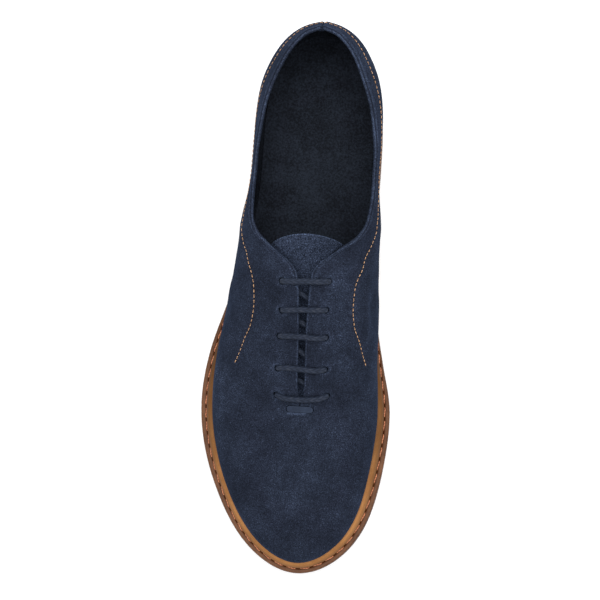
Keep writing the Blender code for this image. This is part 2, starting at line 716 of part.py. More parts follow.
INSTEP = Instep()
OUTER_PIECES = (
    make_outsole(material("sole_rubber", (0.36, 0.24, 0.17), 0.6)),
    make_midsole(material("sole_edge", (0.47, 0.33, 0.25), 0.55)),
    make_upper(INSTEP, material("suede", (0.17, 0.20, 0.26), 0.95)),
)
make_welt(material("welt_leather", (0.58, 0.39, 0.24), 0.45))
make_insole(material("sock_lining", (0.12, 0.13, 0.16), 0.9))
make_tongue(material("tongue_suede", (0.18, 0.21, 0.27), 0.95))
make_throat_bar(INSTEP, material("smooth_leather", (0.18, 0.21, 0.28), 0.5))
make_lace(INSTEP, material("lace_cotton", (0.22, 0.25, 0.31), 0.85))

# The shoe's origin is the middle of its box, on the floor.
box = np.vstack([np.array(outer.bound_box) for outer in OUTER_PIECES])
middle = (box.min(axis=0) + box.max(axis=0)) / 2
SHOE.location = (-middle[0], -middle[1], 0.0)
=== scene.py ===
"""A suede lace-up shoe for the right foot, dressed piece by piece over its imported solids.

Toe to -Y, inner (medial) side to +X, standing on z = 0. Shapes are worked out in the shoe's own
millimetres: `along` from the back of the sole to its toe, `out` from the lacing's centre line
to the inner side, `up` from the floor. `side` 0 is the medial half and 1 the lateral half.
"""

import math

import bmesh
import bpy
import numpy as np
from mathutils import Matrix, Vector


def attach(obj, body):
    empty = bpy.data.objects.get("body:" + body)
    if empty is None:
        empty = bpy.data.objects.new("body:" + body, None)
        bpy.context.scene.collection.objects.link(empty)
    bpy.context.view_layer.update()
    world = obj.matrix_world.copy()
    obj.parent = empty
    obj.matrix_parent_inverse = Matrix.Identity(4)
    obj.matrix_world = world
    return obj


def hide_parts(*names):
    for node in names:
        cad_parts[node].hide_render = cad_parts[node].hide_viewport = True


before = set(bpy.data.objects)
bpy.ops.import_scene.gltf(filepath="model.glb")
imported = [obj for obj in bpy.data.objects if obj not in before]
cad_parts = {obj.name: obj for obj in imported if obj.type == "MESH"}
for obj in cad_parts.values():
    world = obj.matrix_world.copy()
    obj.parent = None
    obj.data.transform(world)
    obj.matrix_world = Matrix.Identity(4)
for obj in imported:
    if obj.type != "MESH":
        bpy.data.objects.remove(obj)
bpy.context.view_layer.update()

# ---- Outsole --------------------------------------------------------------------------------
# A sheet of brown rubber with a low built-up heel, bevelled round its bottom edge and glued
# under the midsole. The waist is cut away in an arch, and grooves cross the heel and the ball.

MIDDLE_OF_BOX = (-5.611, 151.487)  # out and along of the frame's origin
GAP = 0.3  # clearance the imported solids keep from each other
DOUBLES = 2e-7  # metres within which two points are one

HEEL_END = (3.0, 0.0)  # along and out of the upper's base at the heel
TOE_END = (294.5, 1.5)  # the same at the toe


def named_columns(names, *rows):
    """A table as a dictionary: one array for each named column."""
    return dict(zip(names.split(), np.array(rows, float).T))


# Half widths of the upper's base, and how far the sole stands out past it.
OUTLINE = named_columns(
    "along medial lateral rim_medial rim_lateral",
    (8, 13.8, 14.2, 3.0, 3.0),
    (22, 24.4, 25.2, 3.0, 3.0),
    (45, 30.2, 31.2, 3.0, 3.0),
    (75, 31.2, 32.8, 3.0, 3.0),
    (105, 31.0, 33.8, 2.4, 3.0),
    (135, 32.1, 37.2, 1.9, 3.8),
    (160, 35.2, 42.8, 1.7, 5.6),
    (185, 37.3, 48.2, 4.4, 7.4),
    (212, 39.5, 50.4, 7.5, 8.0),
    (237, 37.6, 46.4, 8.1, 8.1),
    (258, 33.8, 38.6, 7.9, 7.9),
    (275, 27.6, 29.0, 7.7, 7.7),
    (287, 18.0, 17.6, 7.6, 7.6),
)
# Heights of the sole's layers.
SOLE = named_columns(
    "along tread outsole_top midsole_top",
    (-5, 0, 11, 22.6),
    (45, 0, 11, 22.2),
    (88, 0, 10.6, 20.6),
    (125, 0, 8.2, 17.6),
    (160, 0, 5.4, 15.2),
    (195, 0, 4.6, 14.6),
    (235, 0, 4.6, 14.6),
    (268, 2.4, 7.0, 16.8),
    (304, 8.6, 13.0, 22.4),
)
HEEL_BREAST = 88.0  # front face of the heel
ARCH_TOP, ARCH_END, ARCH_HEIGHT = 106.0, 160.0, 5.6
GROOVES = np.array((24, 44, 64, 176, 190, 204, 218, 232, 246, 260), float)
GROOVE_WIDTH, GROOVE_DEPTH = 2.6, 1.8
TREAD_EDGE = 1.4  # bevel round the bottom
RUBBER_LAYER = 3.6
TOE_EDGE, TOE_EDGE_FROM = 1.0, 232.0  # the outsole shows past the midsole round the toe


def unit(vectors):
    """The vectors brought to a length of one."""
    return vectors / np.maximum(np.linalg.norm(vectors, axis=-1, keepdims=True), 1e-9)


def walked_along(points):
    """Distance walked along a line to each of its points."""
    return np.concatenate([[0], np.cumsum(np.linalg.norm(np.diff(points, axis=0), axis=-1))])


def hermite(at, knots, values, slopes):
    """Cubic pieces through the values with given slopes: the two end values and end slopes of
    each piece, weighted by the four cubic Hermite polynomials of the share walked in it."""
    at = np.clip(at, knots[0], knots[-1])
    part = np.clip(np.searchsorted(knots, at, side="right") - 1, 0, len(knots) - 2)
    width = knots[part + 1] - knots[part]
    s = (at - knots[part]) / width
    start = (1 + 2 * s) * (1 - s) ** 2 * values[part] + s * (1 - s) ** 2 * width * slopes[part]
    end = s * s * (3 - 2 * s) * values[part + 1] - s * s * (1 - s) * width * slopes[part + 1]
    return start + end


def even_curve(at, knots, values):
    """A cubic curve that never swings past the values: each inner slope is the weighted
    harmonic mean of the rates beside it, and zero where they disagree in sign."""
    width = np.diff(knots)
    rate = np.diff(values) / width
    slopes = np.concatenate([rate[:1], np.zeros(len(values) - 2), rate[-1:]])
    same_way = rate[:-1] * rate[1:] > 0
    before = (2 * width[1:] + width[:-1])[same_way]
    after = (width[1:] + 2 * width[:-1])[same_way]
    weighted = before / rate[:-1][same_way] + after / rate[1:][same_way]
    slopes[1:-1][same_way] = (before + after) / weighted
    return hermite(at, knots, values, slopes)


def fair_curve(at, knots, values, level_ends=False):
    """The cubic spline through the values: its slopes solve the equations that make the
    curvature steady at each inner knot, with free ends, or level ones where asked."""
    width = np.diff(knots)
    rate = np.diff(values) / width
    matrix = np.diag(np.concatenate([[1.0], 2 / width[:-1] + 2 / width[1:], [1.0]]))
    matrix += np.diag(np.concatenate([1 / width[:-1], [0.0]]), -1)
    matrix += np.diag(np.concatenate([[0.0], 1 / width[1:]]), 1)
    right = np.concatenate([[0.0], 3 * (rate[:-1] / width[:-1] + rate[1:] / width[1:]), [0.0]])
    if not level_ends:
        matrix[0, :2], matrix[-1, -2:] = (2.0, 1.0), (1.0, 2.0)
        right[0], right[-1] = 3 * rate[0], 3 * rate[-1]
    return hermite(at, knots, values, np.linalg.solve(matrix, right))


def base_outline():
    """Both halves of the upper's base, toe to heel: points and outward normals, (2, n, 2).

    The table's places are walked in a closed loop, toe, medial side, heel, lateral side, and
    a fair curve over the distance walked joins them. A normal is the tangent turned square."""
    inner = np.column_stack([OUTLINE["along"], OUTLINE["medial"]])[::-1]
    outer = np.column_stack([OUTLINE["along"], -OUTLINE["lateral"]])
    lap = np.vstack([[TOE_END], inner, [HEEL_END], outer])
    knots = np.vstack([lap, lap, lap])
    walked = walked_along(knots)
    count = len(lap)
    toe, heel, next_toe = walked[count], walked[count + len(inner) + 1], walked[2 * count]
    at = np.linspace([toe, next_toe], [heel, heel], 2400, axis=1)
    places = np.stack([fair_curve(at, walked, knots[:, axis]) for axis in (0, 1)], axis=-1)
    tangents = np.gradient(places, axis=1)
    turn = np.array([-1.0, 1.0])[:, None, None]
    normals = unit(np.stack([-tangents[..., 1], tangents[..., 0]], axis=-1) * turn)
    normals[:, 0], normals[:, -1] = (1.0, 0.0), (-1.0, 0.0)
    return places, normals


OUTLINE_PLACES, OUTLINE_NORMALS = base_outline()


def read_between(at, knots, table):
    """Each column of a table read between its rows, which stand at the knots."""
    return np.stack([np.interp(at, knots, column) for column in table.T], axis=-1)


def at_shares(curves, shares):
    """Each half's dense curve read at that half's own shares: (2, n, 2) from (2, n) shares."""
    dense = np.linspace(0, 1, curves.shape[1])
    return np.stack([read_between(shares[side], dense, curves[side]) for side in (0, 1)])


def sole_height(name, along):
    """Height of a layer's top, or of the tread, at places along the sole."""
    return even_curve(along, SOLE["along"], SOLE[name])


def layer(name, lift=0.0):
    """A height function for rim_ring: one layer of the sole, lifted."""
    return lambda along: sole_height(name, along) + lift


def rim_width(along):
    """Width of the sole's rim past the upper on both halves: (2, n) from (2, n) places."""
    rims = ("rim_medial", "rim_lateral")
    return np.stack([even_curve(along[k], OUTLINE["along"], OUTLINE[rims[k]]) for k in (0, 1)])


def rungs(count, extra=()):
    """Shares at which both halves of the rim are equally far along, closer at toe and heel,
    so that a rung across the sole is straight: cosine steps, and the extra places asked for."""
    base, normals = OUTLINE_PLACES, OUTLINE_NORMALS
    rim_along = base[..., 0] + normals[..., 0] * rim_width(base[..., 0])
    dense = np.linspace(0, 1, base.shape[1])
    ends = rim_along[0, [-1, 0]]
    steps = (1 - np.cos(np.linspace(0, math.pi, count))) / 2
    places = np.unique(np.concatenate([ends[0] + (ends[1] - ends[0]) * steps, extra]))[::-1]
    shares = np.stack([np.interp(-places, -rim_along[side], dense) for side in (0, 1)])
    shares[:, 0], shares[:, -1] = 0, 1
    return shares


def rim_ring(shares, height, rim_share=1.0, inset=0.0, toe_edge=0.0):
    """A ring round the sole, (2, n, 3): the base pushed out along its normals by a share of
    the rim less an inset, at the height that a function gives for each place along."""
    base = at_shares(OUTLINE_PLACES, shares)
    out = rim_width(base[..., 0]) * rim_share - inset
    past_ball = np.clip((base[..., 0] - TOE_EDGE_FROM) / (TOE_END[0] - TOE_EDGE_FROM), 0, 1)
    plan = base + at_shares(OUTLINE_NORMALS, shares) * (out + toe_edge * past_ball)[..., None]
    return np.concatenate([plan, np.asarray(height(plan[..., 0]))[..., None]], axis=-1)


def tread_height(along):
    """Underside of the outsole: the tread, cut up into the arch and into each groove."""
    height = sole_height("tread", along)
    share = np.clip((along - ARCH_TOP) / (ARCH_END - ARCH_TOP), 0, 1)
    in_arch = (along > HEEL_BREAST) & (along < ARCH_END)
    height = np.maximum(height, np.where(in_arch, ARCH_HEIGHT * np.cos(math.pi / 2 * share), 0))
    beside = np.abs(along[..., None] - GROOVES)
    floor = sole_height("tread", GROOVES) + GROOVE_DEPTH
    grooves = np.where(beside < GROOVE_WIDTH / 2, floor, 0).max(axis=-1)
    return np.maximum(height, grooves)


def turns(around, start=0.0):
    """Angles in even steps round a circle, the first a share of a step on."""
    return 2 * math.pi * (np.arange(around) + start) / around


def round_loop(halves):
    """The two halves of a ring as one closed loop, the shared toe and heel points kept once."""
    return np.concatenate([halves[0], halves[1, -2:0:-1]])


def loop_faces(rings, around, endless=False):
    """Quads between stacked closed loops of as many points; endless joins the last loop to the
    first."""
    i, j = np.meshgrid(np.arange(rings - (not endless)), np.arange(around), indexing="ij")
    here, after = i * around, (i + 1) % rings * around
    beside = (j + 1) % around
    corners = [here + j, here + beside, after + beside, after + j]
    return np.stack(corners, axis=-1).reshape(-1, 4).tolist()


def lid_faces(start, around):
    """A flat lid on a loop, rung by rung: quads between its halves and a triangle at each end."""
    i, heel = np.arange(1, around // 2 - 1), around // 2
    quads = np.column_stack([i, i + 1, around - i - 1, around - i]) + start
    ends = np.array([[0, 1, around - 1], [heel - 1, heel, heel + 1]]) + start
    return quads.tolist() + ends.tolist()


def layered(rings):
    """Rings in two halves stacked as closed loops, with the faces that join them and lid both
    ends."""
    loops = np.array([round_loop(ring) for ring in rings])
    count, around = loops.shape[:2]
    lids = lid_faces(0, around) + lid_faces((count - 1) * around, around)
    return loops, loop_faces(count, around) + lids


def grid_faces(rows, columns, start=0):
    """Quads of an open grid whose points run column by column within each row."""
    i, j = np.meshgrid(np.arange(rows - 1), np.arange(columns - 1), indexing="ij")
    a = (start + i * columns + j).ravel()
    return np.column_stack([a, a + 1, a + columns + 1, a + columns]).tolist()


def to_frame(points):
    """A list of places, given in any grid as along, out, up in millimetres, in the frame's
    metres and axes."""
    points = np.asarray(points).reshape(-1, 3)
    x, y = points[:, 1] - MIDDLE_OF_BOX[0], MIDDLE_OF_BOX[1] - points[:, 0]
    return np.column_stack([x, y, points[:, 2]]) / 1000


def closed_mesh(name, points, faces, marks=None):
    """A mesh with its doubles merged and its faces turned out: a skin that then holds a volume
    below nothing is turned round. marks are named values, one a point, for the finish."""
    mesh = bpy.data.meshes.new(name)
    mesh.from_pydata(to_frame(points).tolist(), [], faces)
    for mark, values in (marks or {}).items():
        attribute = mesh.attributes.new(mark, "FLOAT", "POINT")
        attribute.data.foreach_set("value", np.asarray(values, np.float32).ravel())
    work = bmesh.new()
    work.from_mesh(mesh)
    bmesh.ops.remove_doubles(work, verts=work.verts, dist=DOUBLES)
    bmesh.ops.dissolve_degenerate(work, edges=work.edges, dist=DOUBLES)
    bmesh.ops.recalc_face_normals(work, faces=work.faces)
    if work.calc_volume(signed=True) < 0:
        bmesh.ops.reverse_faces(work, faces=work.faces)
    work.to_mesh(mesh)
    work.free()
    return mesh


def put(name, data):
    """A new object in the scene."""
    made = bpy.data.objects.new(name, data)
    bpy.context.collection.objects.link(made)
    return made


def shade(mesh, sharp):
    """Smooth shading, but for edges sharper than that many degrees."""
    mesh.shade_smooth()
    mesh.set_sharp_from_angle(angle=math.radians(sharp))


def make_piece(name, shape, finish, stands_for=None, sharp=60):
    """One piece from its points, faces and marks, riding on the shoe's one body."""
    mesh = closed_mesh(name, *shape)
    shade(mesh, sharp)
    mesh.materials.append(finish.material)
    piece = put(name, mesh)
    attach(piece, "root")
    if stands_for:
        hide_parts(stands_for)
    return piece


class Wire:
    """One output of a finish's nodes; arithmetic on it adds Math nodes to that finish."""

    def __init__(self, finish, socket):
        self.finish = finish
        self.socket = socket

    def math(self, operation, *values):
        return self.finish.node("Math", {"operation": operation}, dict(enumerate(values)))

    def __add__(self, other):
        return self.math("ADD", self, other)

    def __sub__(self, other):
        return self.math("SUBTRACT", self, other)

    def __mul__(self, other):
        return self.math("MULTIPLY", self, other)

    def __radd__(self, other):
        return self.math("ADD", other, self)

    def __rsub__(self, other):
        return self.math("SUBTRACT", other, self)

    def sine(self):
        return self.math("SINE", self)

    def between(self, low, high):
        """0 below low, 1 above high and a soft step in between."""
        sockets = {"Value": self, "From Min": low, "From Max": high}
        return self.finish.node("MapRange", {"interpolation_type": "SMOOTHSTEP"}, sockets)

    def band(self, low, rise, fall, high):
        """1 from rise to fall and 0 outside low and high."""
        return self.between(low, rise) * (1 - self.between(fall, high))


class Finish:
    """The material of one of the shoe's stuffs. Values that stay the same are set on the
    shader's own sockets; what changes over the surface is wired by colour, rough and relief."""

    def __init__(self, name, **constants):
        self.material = bpy.data.materials.new(name)
        self.material.use_nodes = True
        self.tree = self.material.node_tree
        self.shader = self.tree.nodes["Principled BSDF"]
        for socket, value in constants.items():
            self.shader.inputs[socket.replace("_", " ")].default_value = value

    def node(self, kind, settings=None, sockets=None, output=0):
        """Adds a node: its type, its settings, then the values or wires of its sockets."""
        made = self.tree.nodes.new("ShaderNode" + kind)
        for setting, value in (settings or {}).items():
            setattr(made, setting, value)
        for socket, value in (sockets or {}).items():
            if isinstance(value, Wire):
                self.tree.links.new(value.socket, made.inputs[socket])
            else:
                made.inputs[socket].default_value = value
        return Wire(self, made.outputs[output])

    def place(self):
        """Object coordinates, in metres."""
        return self.node("TexCoord", output=3)

    def mark(self, name):
        """The piece's own value of that name."""
        return self.node("Attribute", {"attribute_name": name}, output=2)

    def stretched(self, place, scale, turn):
        """Coordinates turned about the upright axis and scaled, for grain that runs one way."""
        inverse = tuple(1 / s for s in scale)
        sockets = {"Vector": place, "Rotation": (0, 0, turn), "Scale": inverse}
        return self.node("Mapping", {"vector_type": "TEXTURE"}, sockets)

    def noise(self, place, scale, detail, roughness):
        sockets = {"Vector": place, "Scale": scale, "Detail": detail, "Roughness": roughness}
        return self.node("TexNoise", None, sockets)

    def noises(self, place, *kinds):
        """A noise for each scale, detail and roughness."""
        return [self.noise(place, *kind) for kind in kinds]

    def lines(self, across, wander, *settings):
        """Drag lines: noise of the distance across them, led astray by a second value."""
        return self.noise(self.node("CombineXYZ", None, {0: across, 1: wander}), *settings)

    def mix(self, share, first, second):
        """Two colours mixed by a share, each a wire or a tuple from dye()."""
        return self.node("Mix", {"data_type": "RGBA"}, {0: share, 6: first, 7: second}, output=2)

    def wire(self, wire, socket):
        self.tree.links.new(wire.socket, self.shader.inputs[socket])

    def surface(self, colour, rough, height, depth):
        """Wires colour, roughness, and a height, 0 to 1, of that depth in metres."""
        self.wire(colour, "Base Color")
        self.wire(rough, "Roughness")
        self.wire(self.node("Bump", None, {"Height": height, "Distance": depth}), "Normal")


def dye(red, green, blue):
    """A colour as it looks, 0 to 255, as the linear values that a shader takes."""
    shares = (c / 255 for c in (red, green, blue))
    return (*(((c + 0.055) / 1.055) ** 2.4 if c > 0.04045 else c / 12.92 for c in shares), 1.0)


def rubber_finish():
    """Brown rubber: two browns clouded together, fine drag lines along the edge, a darker
    joint at each layer's height (read off `rise`, millimetres up the edge) and a sanded grain."""
    finish = Finish("outsole_rubber", Specular_IOR_Level=0.25)
    place, rise = finish.place(), finish.mark("rise")
    clouds, grain = finish.noises(place, (60, 4, 0.6), (1500, 3, 0.6))
    lines = finish.lines(rise * 0.9, clouds * 0.35, 3.2, 3, 0.7)
    tone = clouds * 0.45 + lines * 0.35 + grain * 0.3
    joint = (rise * (2 * math.pi / RUBBER_LAYER)).sine().between(0.94, 1.0)
    colour = finish.mix(tone.between(0.3, 0.8), dye(58, 36, 22), dye(96, 62, 38))
    colour = finish.mix(joint * 0.5, colour, dye(48, 32, 22))
    rough = 0.62 + (grain - 0.5) * 0.3 + (lines - 0.5) * 0.2
    finish.surface(colour, rough, lines * 0.5 + grain * 0.5 - joint * 0.6, 0.00015)
    return finish


tread_rungs = rungs(360, np.concatenate([
    (GROOVES[:, None] + GROOVE_WIDTH * np.array((-0.51, -0.49, 0.49, 0.51))).ravel(),
    (HEEL_BREAST - 0.05, HEEL_BREAST + 0.05, HEEL_BREAST + 1),
]))


def make_outsole():
    """Loops from the tread's bevel up the side, closed below by rungs that follow the tread.

    Each loop lies where rim_ring puts it; the bevel's upper loop stays above every groove."""

    def bevel_height(along):
        return np.maximum(sole_height("tread", along) + TREAD_EDGE, tread_height(along) + 0.25)

    def ring(height, inset=0.0):
        return rim_ring(tread_rungs, height, inset=inset, toe_edge=TOE_EDGE)

    bevel, upper_edge = ring(bevel_height), ring(layer("outsole_top", -0.5))
    side = [bevel + (upper_edge - bevel) * share for share in (0.25, 0.5, 0.75)]
    lip, inner = ring(layer("outsole_top", -0.12), 0.15), ring(layer("outsole_top"), 0.6)
    bottom = ring(tread_height, TREAD_EDGE)
    loops, faces = layered([bottom, bevel, *side, upper_edge, lip, inner])
    rise = loops[..., 2] - sole_height("tread", loops[..., 0])
    return loops, faces, {"rise": rise}


make_piece("outsole_rubber", make_outsole(), rubber_finish(), "outsole", 35)

# ---- Midsole and its seam -------------------------------------------------------------------
# A brown sole body under the upper. Its top is a bare rounded ledge outside a sunken seam, and
# a waxed copper thread is sewn along the seam in long stitches that dive into their holes.

SEAM_SHARE, SEAM_HALF_WIDTH, SEAM_DEPTH = 0.64, 0.26, 0.45  # where it runs on the rim
WELT_SHARE = 0.61  # the tan band covers the rim up to here
RIM_STITCH = {"pitch": 7.4, "length": 5.9, "radius": 0.31, "crown": 0.32, "lean": 0.16}
# Size and place of the dark patch at each awl hole: painted shadow.
AWL_HOLE_SHADOW = {
    "pitch": 7.4, "length": 2.1, "radius": 0.40, "crown": 0.1,
    "start": 0.5, "rise": -0.1, "aside": 0.14,
}

rim_rungs = rungs(560)


def make_midsole():
    """Loops up the side, over the ledge and through the seam to a flat lid, each by rim_ring.

    The seam's lips open by a cosine of the distance walked, widest at the needle holes."""
    line = round_loop(rim_ring(rim_rungs, layer("midsole_top"), rim_share=SEAM_SHARE))
    stitches_round = round(walked_along(line)[-1] / RIM_STITCH["pitch"])
    turn = 2 * math.pi * stitches_round * walked_along(line) / walked_along(line)[-1]
    pucker = 0.5 + 0.5 * np.cos(turn)
    rung = np.arange(rim_rungs.shape[1])
    lip = SEAM_HALF_WIDTH + 0.14 * np.stack([pucker[rung], pucker[-rung % len(line)]])
    rings = [
        rim_ring(rim_rungs, layer(name, lift), rim_share=share, inset=inset)
        for name, lift, share, inset in (
            ("outsole_top", GAP, 1.0, 2.5),
            ("outsole_top", GAP, 1.0, 0.8),
            ("outsole_top", GAP + 0.3, 1.0, 0.25),
            ("outsole_top", GAP + 0.9, 1.0, 0.0),
            ("midsole_top", -1.2, 1.0, 0.0),
            ("midsole_top", -0.55, 1.0, 0.12),
            ("midsole_top", -0.15, 1.0, 0.42),
            ("midsole_top", 0.02, 1.0, 0.8),
            ("midsole_top", 0.05, SEAM_SHARE, -lip - 0.35),
            ("midsole_top", -0.12, SEAM_SHARE, -lip),
            ("midsole_top", -SEAM_DEPTH, SEAM_SHARE, -lip * 0.6),
            ("midsole_top", -SEAM_DEPTH, SEAM_SHARE, lip * 0.6),
            ("midsole_top", 0.0, SEAM_SHARE, lip),
            ("midsole_top", 0.0, 0.3, 0.0),
        )
    ]
    low, high = rings[3:5]
    rings[4:4] = [low + (high - low) * share for share in (0.33, 0.67)]
    loops, faces = layered(rings)
    rise = loops[..., 2] - sole_height("outsole_top", loops[..., 0])
    ledge = [0.0] * 7 + [0.1, 0.3, 0.5, 0.7, 0.8, 1.0, 1.0, 0.8, 0.6]
    return loops, faces, {"rise": rise, "ledge": np.repeat(ledge, loops.shape[1])}


def edge_finish():
    """Waxed brown sole edge: sanded layers on the side, a pinker polished ledge with a darker
    line along its rounded outer edge (read off `ledge`, 0 on the side to 1 in the seam), and
    painted shade darkening the sunken seam."""
    finish = Finish("sole_edge", Specular_IOR_Level=0.12, Coat_Roughness=0.3)
    place, rise, ledge = finish.place(), finish.mark("rise"), finish.mark("ledge")
    kinds = (70, 4, 0.6), (1300, 3, 0.65), (420, 2, 0.7)
    clouds, grain, specks = finish.noises(place, *kinds)
    lines = finish.lines(rise * 1.1, clouds * 0.5, 3.0, 4, 0.7)
    side_tone = (clouds * 0.4 + lines * 0.6).between(0.3, 0.75)
    side = finish.mix(side_tone, dye(62, 38, 24), dye(102, 68, 46))
    top_tone = (clouds * 0.5 + grain * 0.25 + specks * 0.25).between(0.32, 0.68)
    top = finish.mix(top_tone, dye(74, 45, 26), dye(108, 71, 46))
    colour = finish.mix(ledge.between(0.05, 0.32), side, top)
    # A darker line along the ledge's rounded outer edge.
    colour = finish.mix(ledge.band(0.0, 0.16, 0.16, 0.34) * 0.5, colour, dye(60, 36, 25))
    # Painted shade: the sunken seam's groove is darkened where shade falls in it.
    colour = finish.mix(ledge.between(0.6, 0.98), colour, dye(70, 40, 22))
    rough = 0.5 + (grain - 0.5) * 0.35 - ledge * 0.08
    finish.surface(colour, rough, lines * 0.4 + grain * 0.35 + specks * 0.25, 0.00014)
    finish.wire(ledge.between(0.2, 0.5) * 0.08, "Coat Weight")
    return finish


def stitches(path, lifts, outward, pitch, length, radius, crown,
             lean=0.0, start=0.0, rise=0.0, aside=0.0, rings=9, around=8):
    """Round-ended stitches set along a line at an even pitch, as points, faces and marks.

    A stitch's share t runs -1 to 1: its middle is the line's place at that distance, raised by
    rise + crown (1 - t^2) along lifts and moved aside + lean sin(pi t) along outward, and its
    radius is that of a long egg, (1 - t^6)^(1/2). `start` puts the first one a share of the
    pitch later. `ply` winds round each, for the thread's twist."""
    walked = walked_along(path)
    whole = round(walked[-1] / pitch)
    count = whole if start == 0 or np.allclose(path[0], path[-1]) else whole - 1
    middles = (np.arange(count) + 0.5 + start) * walked[-1] / whole
    t = np.linspace(-1, 1, rings)
    at = middles[:, None] + t * length / 2
    middle, lift, out = (
        read_between(at % walked[-1], walked, values) for values in (path, lifts, outward)
    )
    lift, out = unit(lift), unit(out)
    middle = middle + lift * (rise + crown * (1 - t**2))[:, None]
    middle = middle + out * (aside + lean * np.sin(math.pi * t))[:, None]
    turn = turns(around)
    girth = radius * np.sqrt(np.clip(1 - t**6, 0, 1))[:, None]
    outs = out[:, :, None] * (girth * np.cos(turn))[..., None]
    points = middle[:, :, None] + outs + lift[:, :, None] * (girth * np.sin(turn))[..., None]
    one = np.array(loop_faces(rings, around))
    faces = (one + (np.arange(count) * rings * around)[:, None, None]).reshape(-1, 4).tolist()
    ply = at[:, :, None] / 1.6 + turn / (2 * math.pi)
    return points, faces, {"ply": ply}


def thread_finish(name, dark, light):
    """Twisted waxed thread: two tones winding round it (read off `ply`) under a fine fuzz."""
    finish = Finish(name, Specular_IOR_Level=0.45)
    place, ply = finish.place(), finish.mark("ply")
    fuzz, wear = finish.noises(place, (2200, 2, 0.7), (180, 2, 0.5))
    twist = (ply * (2 * math.pi)).sine() * 0.5 + 0.5
    colour = finish.mix((twist * 0.5 + wear * 0.6 + fuzz * 0.2).between(0.35, 0.95), dark, light)
    finish.surface(colour, 0.5 + (fuzz - 0.5) * 0.4, twist * 0.7 + fuzz * 0.3, 0.00012)
    return finish


def hole_shadow_finish(name, colour):
    """Dull dark paint for a hole: painted shade standing for its dark inside."""
    return Finish(name, Base_Color=colour, Roughness=1.0, Specular_IOR_Level=0.05)


make_piece("sole_body", make_midsole(), edge_finish(), "midsole", 35)

seam_floor = layer("midsole_top", RIM_STITCH["radius"] - SEAM_DEPTH)
seam_line = round_loop(rim_ring(rim_rungs, seam_floor, rim_share=SEAM_SHARE))
seam_line = np.vstack([seam_line, seam_line[:1]])
seam_out = np.gradient(seam_line, axis=0)[:, [1, 0, 2]] * np.array((1.0, -1.0, 0.0))
seam = (seam_line, np.tile((0.0, 0.0, 1.0), (len(seam_line), 1)), seam_out)
copper = thread_finish("copper_thread", dye(150, 84, 56), dye(214, 140, 98))
make_piece("rim_stitches", stitches(*seam, **RIM_STITCH), copper)
# Each pair of stitches meets over a dark patch a little outside the line: painted shadow standing
# for its awl hole.
awl_hole_shadows = stitches(*seam, **AWL_HOLE_SHADOW)[:2]
make_piece("awl_hole_shadows", awl_hole_shadows, hole_shadow_finish("awl_hole_shadows", dye(68, 35, 17)))

# ---- Welt -----------------------------------------------------------------------------------
# A smooth tan leather band laid round the joint of upper and sole, glazed. Burnish and painted
# shade darken it by the seam, painted shade darkens it from the ball back, and a painted
# highlight lies along its bead by the upper. It stands fuller round the forefoot than along
# waist and heel.

WELT = named_columns("along height", (0, 2.6), (150, 2.6), (205, 4.6), (300, 4.6))
WELT_LIFT = 0.05  # keeps the band off the wall
WELT_BACK = (1.2, 0.8)  # how far inside the wall its hidden back lies, at its top and its foot

# The upper's top edge, from the toe: first the crest of the forefoot, then the throat's edges,
# the mouth and the collar. `foot` is the share of the base's half outline under that place.
TOP = named_columns(
    "foot along medial lateral up dip",
    (0.00, 262, 0, 0, 46, 0),
    (0.08, 256, 0, 0, 47, 0),
    (0.17, 245, 0, 0, 49.2, 0),
    (0.26, 229, 0, 0, 53.2, 0),
    (0.34, 207, 0, 0, 60.4, 0),
    (0.352, 203.8, 1.5, 1.9, 61.7, 0),
    (0.37, 199, 2.1, 2.8, 63.6, 0),
    (0.45, 172, 1.8, 3.0, 75.4, 0),
    (0.53, 147, 3.0, 3.9, 86.0, 0),
    (0.56, 139.5, 3.6, 5.0, 87.2, 0.2),
    (0.58, 133.7, 6.6, 9.0, 85.2, 0.5),
    (0.60, 128.4, 13.0, 15.9, 81.8, 1.0),
    (0.63, 118, 26.4, 28.4, 74.8, 1.4),
    (0.66, 107.5, 31.6, 32.9, 67.6, 1.8),
    (0.70, 94, 33.0, 33.5, 62.2, 2.0),
    (0.76, 75, 32.8, 33.2, 59.4, 2.6),
    (0.84, 50, 29.6, 30.0, 61.0, 1.4),
    (0.92, 24, 20.4, 20.4, 66.8, 0.4),
    (0.96, 11.6, 10.8, 10.8, 70.2, 0.1),
    (1.00, 7.4, 0, 0, 71.6, 0),
)
SLIT_END = 0.34  # share at which the slit closes on the crest
CREST_ENDS = (0.50, 0.58)  # between these the top edge leaves the crest
FLAT_END = (0.53, 0.56)  # between these the facings stop lying flat
# How the wall bends: bulge and rise aim it off the sole, reach and fall aim it at its top edge.
SHAPE = named_columns(
    "foot bulge rise reach fall",
    (0.00, 5.4, 18, 0.56, 0),
    (0.17, 5.8, 20, 0.57, 0),
    (0.34, 6.3, 25, 0.55, 0.2),
    (0.45, 10.6, 29, 0.50, 1.0),
    (0.54, 14.6, 30, 0.46, 2.0),
    (0.60, 14.8, 27, 0.42, 5.6),
    (0.68, 7.0, 19, 0.34, 12),
    (0.84, 7.2, 18, 0.42, 15),
    (1.00, 6.8, 20, 0.50, 20),
)


def step_up(value, low, high):
    """0 below low, 1 above high, and 3 t^2 - 2 t^3 of the share t in between."""
    t = np.clip((value - low) / (high - low), 0, 1)
    return t * t * (3 - 2 * t)


